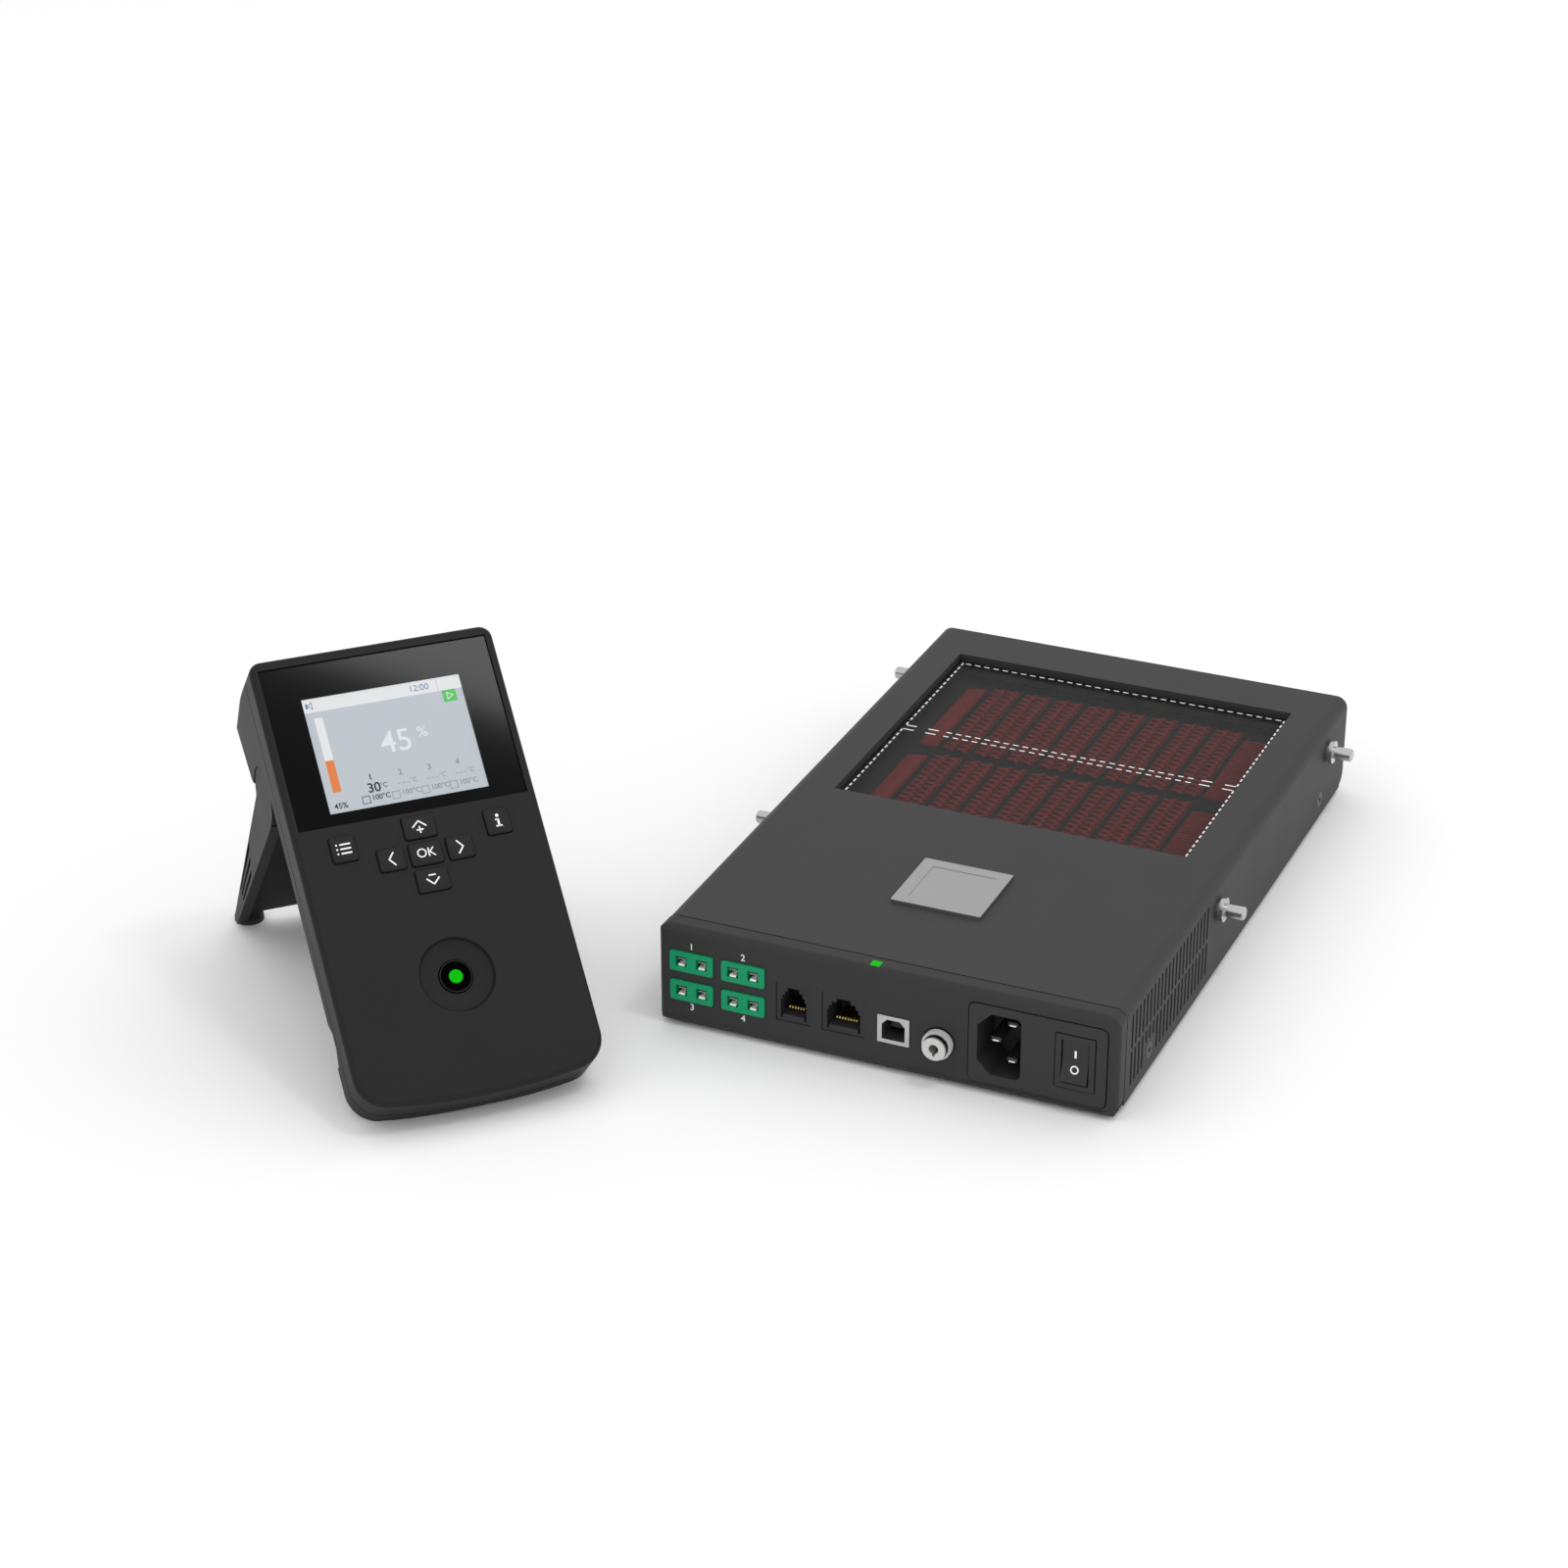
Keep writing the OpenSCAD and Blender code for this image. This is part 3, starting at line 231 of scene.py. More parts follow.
# Console: two shells screwed together, a folding stand on hinge pins, keys and start button, all
# moulded in black plastic with a fine grain. The window is a polished black plate over the display.
shell_plastic = finish("shell_plastic", grey(0.0145), 0.48, grain=2600.0, bump=0.2, vary=0.06, specular=0.14)
paint(shell_plastic, "console_front", "console_rear", "stand")
key_plastic = finish("key_plastic", grey(0.0145), 0.45, grain=2600.0, bump=0.2, vary=0.06, specular=0.14)
paint(key_plastic, "key_menu", "key_up_arrow", "key_left_arrow", "key_ok", "key_right_arrow",
      "key_down_arrow", "key_info")
button_black = finish("button_black", grey(0.0015), 0.6, grain=2600.0, bump=0.05, vary=0.05, specular=0.0)
paint(button_black, "start_button")
window_black = finish("window_black", grey(0.002), 0.07, grain=300.0, bump=0.0, vary=0.05, spread=0.0,
                      specular=0.065)
paint(window_black, "display_window")
paint(finish("panel_glass", (0.5, 0.55, 0.6), 0.4), "display_panel")

# Key caps: seven moulded keys with rounded corners and softly broken top edges, each guided by its
# opening in the front shell and kept in by a rim under it. The signs on them are white ink, printed flat.
LEAN, TURN = math.radians(44.2), math.radians(45.88)
FOOT_OF_FACE = HEATER + Vector((-108.6, -83.66, 11.3916)) * MM
FACE = (Matrix.Translation(FOOT_OF_FACE) @ Matrix.Rotation(TURN, 4, "Z") @ Matrix.Rotation(LEAN, 4, "X")
        @ Matrix.Scale(MM, 4))
INK_THICK, FIGURE_THICK = 0.04, 0.02
KEY_TOP, KEY_LOW, KEY_CORNER, KEY_LIP = 1.0, -4.0, 1.0, 0.35
RIM_LOW, RIM_HIGH, RIM_OUT, RIM_LIP = -3.3, 0.9, 1.1, 0.1
LIST_ROWS, LIST_DOT_X, LIST_DOT = (-1.6, 0.0, 1.6), -2.3, 0.33
INFO_DOT, INFO_DOT_X, INFO_DOT_Y = 0.6, 0.1, 1.95
OK_SIZE = 4.6
# middle x and y, width and depth of each key
KEYS = {
    "key_menu": (-27.5, 93.7, 8.8, 9.2), "key_up_arrow": (0.1, 96.7, 11.4, 8.2),
    "key_left_arrow": (-12.2, 87.0, 9.2, 8.2), "key_ok": (0.1, 87.0, 11.4, 8.2),
    "key_right_arrow": (12.4, 87.0, 9.2, 8.2), "key_down_arrow": (0.1, 77.2, 11.4, 8.2),
    "key_info": (27.6, 93.7, 8.8, 9.2)}
# strokes of each sign: both ends, from the key's middle, and the width
SIGNS = {
    "key_menu": [(-0.9, row, 2.3, row, 0.55) for row in LIST_ROWS],
    "key_up_arrow": [(-2.3, 0.1, 0.0, 2.1, 0.5), (0.0, 2.1, 2.3, 0.1, 0.5), (-1.0, -1.1, 1.0, -1.1, 0.5),
                     (0.0, -2.1, 0.0, -0.1, 0.5)],
    "key_left_arrow": [(0.9, 2.2, -0.9, 0.0, 0.5), (-0.9, 0.0, 0.9, -2.2, 0.5)],
    "key_right_arrow": [(-0.9, 2.2, 0.9, 0.0, 0.5), (0.9, 0.0, -0.9, -2.2, 0.5)],
    "key_down_arrow": [(-1.0, 1.7, 1.0, 1.7, 0.5), (-2.1, 0.4, 0.0, -1.7, 0.5), (0.0, -1.7, 2.1, 0.4, 0.5)],
    "key_info": [(0.15, -1.7, 0.15, 0.4, 0.75), (-0.6, 0.55, 0.1, 0.55, 0.5), (-0.75, -1.85, 1.0, -1.85, 0.5)],
    "key_ok": []}


def alone(*pieces):
    bpy.ops.object.select_all(action="DESELECT")
    for piece in pieces:
        piece.select_set(True)
    bpy.context.view_layer.objects.active = pieces[0]


def settled():
    """Applies the active piece's place, turn and size to its mesh."""
    bpy.ops.object.transform_apply(location=True, rotation=True, scale=True)
    return bpy.context.active_object


def laid(piece, name, where):
    """Names a piece that was drawn in millimetres and moves its mesh to its place on the object."""
    piece.matrix_world = where @ piece.matrix_world
    alone(piece)
    settled()
    piece.name = name
    piece.data.name = name
    return piece


def joined(pieces):
    alone(*pieces)
    if len(pieces) > 1:
        bpy.ops.object.join()
    return bpy.context.view_layer.objects.active


def block(x, y, z, width, depth, height):
    """Block that stands on z, with its middle at x, y."""
    bpy.ops.object.select_all(action="DESELECT")
    bpy.ops.mesh.primitive_cube_add(size=1.0, location=(x, y, z + height / 2))
    bpy.context.active_object.scale = (width, depth, height)
    return settled()


def broken_edges(piece, width, steps, keep):
    """Bevels the edges of a piece that keep(edge ends) picks."""
    alone(piece)
    bpy.ops.object.mode_set(mode="EDIT")
    bpy.ops.mesh.select_mode(type="EDGE")
    bpy.ops.mesh.select_all(action="DESELECT")
    bpy.ops.object.mode_set(mode="OBJECT")
    points = piece.data.vertices
    for edge in piece.data.edges:
        edge.select = keep(points[edge.vertices[0]].co, points[edge.vertices[1]].co)
    bpy.ops.object.mode_set(mode="EDIT")
    bpy.ops.mesh.bevel(offset=width, offset_type="OFFSET", segments=steps, profile=0.5, affect="EDGES")
    bpy.ops.object.mode_set(mode="OBJECT")


def smoothed(piece):
    alone(piece)
    bpy.ops.object.shade_smooth_by_angle(angle=math.radians(40))
    return piece


def rounded_block(x, y, z, width, depth, height, corner, lip):
    piece = block(x, y, z, width, depth, height)
    broken_edges(piece, corner, 5, lambda a, b: abs(a.z - b.z) > height / 2)
    broken_edges(piece, lip, 3, lambda a, b: min(a.z, b.z) > z + height - 0.01)
    return smoothed(piece)


def stroke(x0, y0, x1, y1, width, z, thick=INK_THICK):
    bpy.ops.object.select_all(action="DESELECT")
    bpy.ops.mesh.primitive_cube_add(size=1.0, location=((x0 + x1) / 2, (y0 + y1) / 2, z + thick / 2))
    piece = bpy.context.active_object
    piece.scale = (math.hypot(x1 - x0, y1 - y0) + width, width, thick)
    piece.rotation_euler = (0.0, 0.0, math.atan2(y1 - y0, x1 - x0))
    return settled()


def spot(x, y, radius, z):
    bpy.ops.object.select_all(action="DESELECT")
    bpy.ops.mesh.primitive_cylinder_add(vertices=32, radius=radius, depth=INK_THICK,
                                        location=(x, y, z + INK_THICK / 2))
    return settled()


def figures(words, x, y, size, z, bold=0.0):
    """Flat printed characters, centred on x, y, made a mesh."""
    bpy.ops.object.select_all(action="DESELECT")
    bpy.ops.object.text_add()
    text = bpy.context.active_object.data
    text.body = words
    text.size = size
    text.extrude = FIGURE_THICK
    text.offset = bold
    text.align_x = text.align_y = "CENTER"
    bpy.ops.object.convert(target="MESH")
    bpy.context.active_object.location = (x, y, z)
    return settled()


def inked(piece, stuff, body):
    """Gives a piece its material and the body that it rides on."""
    piece.data.materials.clear()
    piece.data.materials.append(stuff)
    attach(piece, body)
    return piece


white_ink = finish("white_ink", grey(0.95), 0.5, grain=3000.0, vary=0.05)
for key, (x, y, width, depth) in KEYS.items():
    cap = rounded_block(x, y, KEY_LOW, width, depth, KEY_TOP - KEY_LOW, KEY_CORNER, KEY_LIP)
    rim = rounded_block(x, y, RIM_LOW, width + RIM_OUT, depth + RIM_OUT, RIM_HIGH, KEY_CORNER, RIM_LIP)
    cap = laid(joined([cap, rim]), key + "_cap", FACE)
    inked(cap, key_plastic, key + "_body")
    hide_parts(key)
    marks = [stroke(x + a, y + b, x + c, y + d, wide, KEY_TOP) for a, b, c, d, wide in SIGNS[key]]
    if key == "key_menu":
        marks += [spot(x + LIST_DOT_X, y + row, LIST_DOT, KEY_TOP) for row in LIST_ROWS]
    if key == "key_info":
        marks.append(spot(x + INFO_DOT_X, y + INFO_DOT_Y, INFO_DOT, KEY_TOP))
    if key == "key_ok":
        marks.append(figures("OK", x, y, OK_SIZE, KEY_TOP))
    sign = laid(joined(marks), key + "_sign", FACE)
    inked(sign, white_ink, key + "_body")

# Start button ring: a fine raised bead of the same black plastic, moulded round the top of the start
# button, which slides in the hole at the bottom of the dish.
DISH_Y, BUTTON_TOP, BEAD_RADIUS, BEAD_THICK = 43.0, -2.6, 5.5, 0.24


def torus(x, y, z, radius, thick, steps, stretch=1.0):
    bpy.ops.object.select_all(action="DESELECT")
    bpy.ops.mesh.primitive_torus_add(major_segments=steps, minor_segments=8, major_radius=radius,
                                     minor_radius=thick, location=(x, y, z))
    bpy.context.active_object.scale = (1.0, 1.0, stretch)
    return settled()


bead = laid(torus(0.0, DISH_Y, BUTTON_TOP, BEAD_RADIUS, BEAD_THICK, 72), "start_bead", FACE)
bead_black = finish("bead_black", grey(0.016), 0.45, grain=2600.0, bump=0.05, vary=0.05, specular=0.14)
inked(bead, bead_black, "start_body")

# Display: a back-lit panel behind the window's clear middle, held by the console's board. Bars, lamps
# and figures are plain numbers on a pale grey field; each ink is one flat layer just over the field.
FIELD_Z, INK_Z, FIGURE_Z, LAYER_THICK = -1.78, -1.74, -1.70, 0.03
DISPLAY_LEVEL, DISPLAY_BASE = 0.85, 0.15
SCREEN = (-28.5, 107.2, 28.5, 150.0)
HEADER_LOW = 145.0
METER_LEFT, METER_RIGHT, METER_LOW, METER_LEVEL, METER_HIGH = -25.5, -22.5, 114.9, 126.7, 142.7
LAMP = (21.0, 140.6, 25.9, HEADER_LOW)
PLAY = ((22.6, 144.0), (24.7, 142.8), (22.6, 141.6))
HORN = ((-26.4, 147.4), (-25.2, 148.7), (-25.2, 146.1))
HORN_BACK = (-27.4, 146.5, -26.6, 148.3)
HEADER_LINE = (20.0, 145.4, 20.0, 149.6)
COLUMNS = (-11.5, -0.8, 9.7, 19.9)
COLUMN_Y, DEGREE_X, DEGREE_Y, LIMIT_X, LIMIT_Y = 118.2, 4.0, 114.6, 2.1, 110.7
BLANK_Y, BLANK_XS, BLANK_LONG = 114.2, (-1.6, 0.0, 1.6), 0.8
BOX_X, BOX_Y, BOX_SIDE = -4.6, 109.0, 2.6


def outline(points, width, z):
    """Strokes round a closed row of points."""
    return [stroke(*a, *b, width, z) for a, b in zip(points, points[1:] + points[:1])]


def bar(x0, y0, x1, y1, z):
    return block((x0 + x1) / 2, (y0 + y1) / 2, z, x1 - x0, y1 - y0, LAYER_THICK)


def shown(name, parts, colour):
    """One layer of the display, joined and lit in its own colour."""
    piece = laid(joined(parts), name, FACE)
    base = tuple(value * DISPLAY_BASE for value in colour)
    light = finish(name + "_light", base, 0.6, grain=600.0, vary=0.04, bump=0.0)
    inked(piece, lighten(light, colour, DISPLAY_LEVEL), "console")


shown("display_field", [bar(*SCREEN, FIELD_Z)], (0.56, 0.61, 0.66))
shown("display_white", [bar(SCREEN[0], HEADER_LOW, SCREEN[2], SCREEN[3], INK_Z),
                        bar(METER_LEFT, METER_LEVEL, METER_RIGHT, METER_HIGH, INK_Z),
                        figures("45", 0.7, 129.3, 11.4, FIGURE_Z, bold=0.03),
                        figures("%", 10.5, 131.3, 5.6, FIGURE_Z)], (0.86, 0.87, 0.88))
shown("display_orange", [bar(METER_LEFT, METER_LOW, METER_RIGHT, METER_LEVEL, INK_Z)], (0.85, 0.23, 0.06))
shown("display_green", [bar(*LAMP, INK_Z)], (0.1, 0.6, 0.14))
shown("display_play", outline(PLAY, 0.3, FIGURE_Z), (0.8, 0.9, 0.8))
shown("display_blue", [figures("12:00", 13.3, 147.4, 3.3, FIGURE_Z), bar(*HORN_BACK, FIGURE_Z)]
      + outline(HORN, 0.25, FIGURE_Z), (0.1, 0.25, 0.45))
dark_figures = [figures("45%", -23.9, 109.8, 2.9, FIGURE_Z, bold=0.04),
                figures("30", -11.1, 114.2, 4.8, FIGURE_Z, bold=0.08)]
pale_figures = [stroke(*HEADER_LINE, 0.12, FIGURE_Z)]
for column, x in enumerate(COLUMNS):
    layer = dark_figures if column == 0 else pale_figures
    layer.append(figures(str(column + 1), x, COLUMN_Y, 3.0, FIGURE_Z, bold=0.06))
    layer.append(figures("°C", x + DEGREE_X, DEGREE_Y, 2.4, FIGURE_Z))
    if column > 0:
        layer += [stroke(x + dx, BLANK_Y, x + dx + BLANK_LONG, BLANK_Y, 0.22, FIGURE_Z) for dx in BLANK_XS]
    layer.append(figures("100°C", x + LIMIT_X, LIMIT_Y, 2.6, FIGURE_Z, bold=0.04))
    left, right, low, high = x + BOX_X, x + BOX_X + BOX_SIDE, BOX_Y, BOX_Y + BOX_SIDE
    layer += outline(((left, low), (right, low), (right, high), (left, high)), 0.25, FIGURE_Z)
shown("display_dark", dark_figures, (0.02, 0.022, 0.025))
shown("display_pale", pale_figures, (0.3, 0.33, 0.36))

# Window: one polished clear plate in a seat of the front shell, printed black round a clear middle
# that lies over the display.
WINDOW = (-41.0, 102.6, 41.0, 162.4)
WINDOW_TOP, WINDOW_THICK, PANE_THICK, PANE_ALPHA = -0.9, 0.9, 0.3, 0.06
HOLE_LOW, HOLE_HIGH = -3.0, 4.0
SCREEN_Y, SCREEN_WIDE, SCREEN_HIGH = (SCREEN[1] + SCREEN[3]) / 2, SCREEN[2] - SCREEN[0], SCREEN[3] - SCREEN[1]
border = block(0.0, (WINDOW[1] + WINDOW[3]) / 2, WINDOW_TOP - WINDOW_THICK, WINDOW[2] - WINDOW[0],
               WINDOW[3] - WINDOW[1], WINDOW_THICK)
hole = block(0.0, SCREEN_Y, HOLE_LOW, SCREEN_WIDE, SCREEN_HIGH, HOLE_HIGH)
alone(border)
cut = border.modifiers.new("clear_middle", "BOOLEAN")
cut.object = hole
cut.solver = "EXACT"
bpy.ops.object.modifier_apply(modifier=cut.name)
bpy.data.objects.remove(hole)
border = laid(border, "window_border", FACE)
inked(border, window_black, "console")
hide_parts("display_window")
pane = block(0.0, SCREEN_Y, WINDOW_TOP - PANE_THICK, SCREEN_WIDE, SCREEN_HIGH, PANE_THICK)
pane = laid(pane, "window_pane", FACE)
clear_pane = finish("clear_pane", grey(0.02), 0.06, grain=300.0, bump=0.0, spread=0.01, specular=0.09)
clear_pane.node_tree.nodes["Principled BSDF"].inputs["Alpha"].default_value = PANE_ALPHA
inked(pane, clear_pane, "console")

# Heating strips: each is a pair of flattened coils of oxidised resistance wire on a narrow carrier,
# eight to a zone, laid on the fibre board, with a plain edge strip at the left and a ribbed one at the
# right, all oxide red. The carriers take a darker copy of the oxide red, which paints the shade between the
# coils.
TOP = Matrix.Translation(HEATER) @ Matrix.Scale(MM, 4)
BOARD_TOP = 31.0
STRIP_PITCH, STRIP_COUNT, STRIP_MIDDLE = 13.17, 8, 0.95
CARRIER_WIDE, CARRIER_THICK, CARRIER_SHORT = 11.3, 0.35, 1.0
COIL_PITCH, COIL_RADIUS, WIRE_RADIUS, COIL_HIGH = 3.67, 1.72, 0.94, 1.15
COIL_SIDES, COIL_STEPS = 6, 10
# far end and turns of each zone
ZONES = {"strips_near": (178.0, 15), "strips_far": (242.2, 16)}
EDGE_HIGH, RIB_PITCH, RIB_WIDE = 1.3, 2.1, 1.4
PLAIN_X, PLAIN_WIDE, PLAIN_SHORT, PLAIN_SLANT = -56.6, 7.4, 3.8, 2.3
RIBBED_X, RIBBED_WIDE, RIBBED_SHORT = 59.5, 9.4, 5.0
# corner and top edge of the plain strip and of the ribs
PLAIN_EDGES, RIB_EDGES = (0.3, 0.5), (0.2, 0.4)


def repeated(piece, shift, count):
    alone(piece)
    rows = piece.modifiers.new("rows", "ARRAY")
    rows.use_relative_offset = False
    rows.use_constant_offset = True
    rows.constant_offset_displace = shift
    rows.count = count
    bpy.ops.object.modifier_apply(modifier=rows.name)
    return piece


def coil(x, far, count):
    """One flattened coil that runs from its far end towards the front, standing on the carrier."""
    bpy.ops.object.select_all(action="DESELECT")
    bpy.ops.mesh.primitive_circle_add(vertices=COIL_SIDES, radius=WIRE_RADIUS, location=(COIL_RADIUS, 0.0, 0.0))
    piece = settled()
    turns = piece.modifiers.new("turns", "SCREW")
    turns.axis = "Y"
    turns.screw_offset = -COIL_PITCH
    turns.iterations = count
    turns.steps = turns.render_steps = COIL_STEPS
    bpy.ops.object.modifier_apply(modifier=turns.name)
    bpy.ops.object.mode_set(mode="EDIT")
    bpy.ops.mesh.select_all(action="SELECT")
    bpy.ops.mesh.fill_holes(sides=COIL_SIDES)
    bpy.ops.mesh.select_all(action="SELECT")
    bpy.ops.mesh.normals_make_consistent(inside=False)
    bpy.ops.object.mode_set(mode="OBJECT")
    piece.scale = (1.0, 1.0, COIL_HIGH / 2 / (COIL_RADIUS + WIRE_RADIUS))
    piece.location = (x, far - WIRE_RADIUS, BOARD_TOP + CARRIER_THICK + COIL_HIGH / 2)
    return settled()


def slanted(piece, picked, drop):
    """Moves the points that picked(point) takes towards the front."""
    alone(piece)
    bpy.ops.object.mode_set(mode="EDIT")
    bpy.ops.mesh.select_mode(type="VERT")
    bpy.ops.mesh.select_all(action="DESELECT")
    bpy.ops.object.mode_set(mode="OBJECT")
    for point in piece.data.vertices:
        point.select = picked(point.co)
    bpy.ops.object.mode_set(mode="EDIT")
    bpy.ops.transform.translate(value=(0.0, -drop, 0.0))
    bpy.ops.object.mode_set(mode="OBJECT")
    return piece


oxide_red = finish("oxide_red", (0.36, 0.034, 0.036), 0.75, grain=1400.0, mottle=120.0, vary=0.15, specular=0.1)
# Carriers: the oxide red darkened, as painted shade between the coils.
painted_shade_carrier_red = finish("painted_shade_carrier_red", (0.2, 0.021, 0.022), 0.85, grain=1400.0, mottle=120.0, vary=0.15,
                     specular=0.1)
HALF_COIL = COIL_RADIUS + WIRE_RADIUS
FIRST_STRIP = STRIP_MIDDLE - (STRIP_COUNT - 1) / 2 * STRIP_PITCH
ACROSS = (STRIP_PITCH, 0.0, 0.0)
for zone, (far, count) in ZONES.items():
    zone_long = COIL_PITCH * count
    near = far - zone_long
    pair = [coil(FIRST_STRIP - HALF_COIL, far, count), coil(FIRST_STRIP + HALF_COIL, far, count)]
    carrier = block(FIRST_STRIP, far - zone_long / 2, BOARD_TOP, CARRIER_WIDE, zone_long - CARRIER_SHORT,
                    CARRIER_THICK)
    strips = repeated(joined(pair), ACROSS, STRIP_COUNT)
    carriers = laid(repeated(carrier, ACROSS, STRIP_COUNT), zone + "_carriers", TOP)
    inked(carriers, painted_shade_carrier_red, "heater")
    plain_long = zone_long - PLAIN_SHORT
    plain = rounded_block(PLAIN_X, near + plain_long / 2, BOARD_TOP, PLAIN_WIDE, plain_long, EDGE_HIGH,
                          *PLAIN_EDGES)
    plain = slanted(plain, lambda co: co.x < PLAIN_X and co.y > far - zone_long / 2, PLAIN_SLANT)
    rib = rounded_block(RIBBED_X, near + RIB_WIDE / 2, BOARD_TOP, RIBBED_WIDE, RIB_WIDE, EDGE_HIGH, *RIB_EDGES)
    ribs = repeated(rib, (0.0, RIB_PITCH, 0.0), int((zone_long - RIBBED_SHORT) / RIB_PITCH))
    strips = laid(joined([strips, plain, ribs]), zone + "_coils", TOP)
    inked(strips, oxide_red, "heater")
    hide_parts(zone)

# Window glass: one clear heat-proof plate in the black seal under the cover, faintly smoked, with a
# printed white dashed border and a double dashed line between the two heating zones.
GLASS_TOP, GLASS_ALPHA, PRINT_THICK = 37.01, 0.3, 0.03
DASH_LONG, DASH_PITCH, DASH_WIDE = 2.2, 3.9, 0.62
EDGE_X, EDGE_NEAR, EDGE_FAR = 66.7, 122.0, 247.6
ROW_START, ROW_COUNT = -64.35, 34
COLUMN_GAP, COLUMN_COUNT = 0.9, 15
PAIR_LOW, PAIR_HIGH, PAIR_START, PAIR_COUNT = 182.75, 186.25, -48.75, 26
CORNER_LONG, CORNER_HIGH, END_OUTER, END_INNER = 4.2, 2.2, 57.0, 53.4
smoked = finish("smoked_glass", (0.044, 0.046, 0.044), 0.1, grain=200.0, mottle=20.0, bump=0.0, spread=0.02,
                specular=0.065)
smoked.node_tree.nodes["Principled BSDF"].inputs["Alpha"].default_value = GLASS_ALPHA
paint(smoked, "window_glass")


def dashes(x, y, along, count):
    wide, deep = (DASH_LONG, DASH_WIDE) if along == "x" else (DASH_WIDE, DASH_LONG)
    shift = (DASH_PITCH, 0.0, 0.0) if along == "x" else (0.0, DASH_PITCH, 0.0)
    return repeated(block(x, y, GLASS_TOP, wide, deep, PRINT_THICK), shift, count)


def printed(x0, y0, x1, y1):
    return stroke(x0, y0, x1, y1, DASH_WIDE, GLASS_TOP, PRINT_THICK)


lines = [dashes(ROW_START, y, "x", ROW_COUNT) for y in (EDGE_NEAR, EDGE_FAR)]
for side in (-1, 1):
    edge = side * EDGE_X
    lines.append(dashes(edge, EDGE_NEAR + COLUMN_GAP, "y", COLUMN_COUNT))
    lines.append(dashes(edge, EDGE_FAR - COLUMN_GAP - (COLUMN_COUNT - 1) * DASH_PITCH, "y", COLUMN_COUNT))
    for y, end in ((PAIR_LOW, -CORNER_HIGH), (PAIR_HIGH, CORNER_HIGH)):
        lines.append(printed(edge, y, side * (EDGE_X - CORNER_LONG), y))
        lines.append(printed(edge, y, edge, y + end))
        lines.append(printed(side * END_OUTER, y, side * END_INNER, y))
for y in (PAIR_LOW, PAIR_HIGH):
    lines.append(dashes(PAIR_START, y, "x", PAIR_COUNT))
border_lines = laid(joined(lines), "glass_dashes", TOP)
inked(border_lines, white_ink, "heater")

# Panel marks: plain numbers in white ink, printed on the front cap over the upper pair and under the
# lower pair of the green sockets.
PANEL = Matrix.Translation(HEATER) @ Matrix.Rotation(math.radians(90), 4, "X") @ Matrix.Scale(MM, 4)
NUMBERS = (("1", -72.2, 32.9), ("2", -52.6, 32.9), ("3", -72.2, 8.7), ("4", -52.6, 8.7))
NUMBER_SIZE, NUMBER_OUT = 3.6, 0.02
numbers = [figures(word, x, z, NUMBER_SIZE, NUMBER_OUT) for word, x, z in NUMBERS]
numbers = laid(joined(numbers), "socket_numbers", PANEL)
inked(numbers, white_ink, "heater")

# Socket contacts: in each slot of the green sockets a flat tinned blade with a bent leaf spring over it,
# both pressed into the moulding from behind.
SOCKET_XS, SOCKET_ZS, SLOT_OFF = (-72.15, -52.5), (26.6, 15.0), 3.85
CONTACT_FRONT, BLADE_BACK, LEAF_BACK = 0.35, -15.0, -3.0
CONTACT_WIDE, CONTACT_THICK, CONTACT_LOW = 2.3, 0.7, 1.45
LEAF_DEEP, LEAF_SET = CONTACT_FRONT - LEAF_BACK, 0.1
# both ends of the leaf's flat and of its bend, from the slot's middle, and the width
LEAF_FLAT, LEAF_BEND = (-1.1, 1.0, 1.5, 1.0, 0.4), (1.5, 0.75, 0.75, -0.15, 0.5)
blades, leaves = [], []
for x in SOCKET_XS:
    for z in SOCKET_ZS:
        for middle in (x - SLOT_OFF, x + SLOT_OFF):
            blades.append(block(middle, z - CONTACT_LOW, BLADE_BACK, CONTACT_WIDE, CONTACT_THICK,
                                CONTACT_FRONT - BLADE_BACK))
            for (a, b, c, d, wide), deep in ((LEAF_FLAT, LEAF_DEEP - LEAF_SET), (LEAF_BEND, LEAF_DEEP)):
                leaves.append(stroke(middle + a, z + b, middle + c, z + d, wide, LEAF_BACK, deep))
white_tin = finish("white_tin", (0.95, 0.95, 0.94), 0.4, grain=2500.0, vary=0.04)
blades = inked(laid(joined(blades), "socket_blades", PANEL), white_tin, "heater")
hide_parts("tc_contacts")
leaf_tin = finish("leaf_tin", (0.27, 0.27, 0.265), 0.4, metal=0.3, grain=1500.0, vary=0.08)
leaves = inked(laid(joined(leaves), "socket_leaves", PANEL), leaf_tin, "heater")

# Jack wire ends: the gilt spring wires of both modular jacks are bent down at the front, where a bright
# gilt colour paints their glint. The wires are moulded into the jacks' bodies.
JACKS = ((-33.65, 6), (-14.85, 8))
WIRE_PITCH, WIRE_END_Z, WIRE_END_Y = 1.05, 15.6, -3.8
WIRE_END_WIDE, WIRE_END_HIGH, WIRE_END_DEEP = 0.42, 0.55, 0.5
ends = [block(x + (wire - (count - 1) / 2) * WIRE_PITCH, WIRE_END_Z, WIRE_END_Y, WIRE_END_WIDE, WIRE_END_HIGH,
              WIRE_END_DEEP) for x, count in JACKS for wire in range(count)]
# Wire ends: light gilt colour as painted glint.
painted_glint_gilt = finish("painted_glint_gilt", (0.95, 0.76, 0.22), 0.45, metal=0.1, grain=2500.0, vary=0.05)
ends = inked(laid(joined(ends), "jack_wire_ends", PANEL), painted_glint_gilt, "heater")
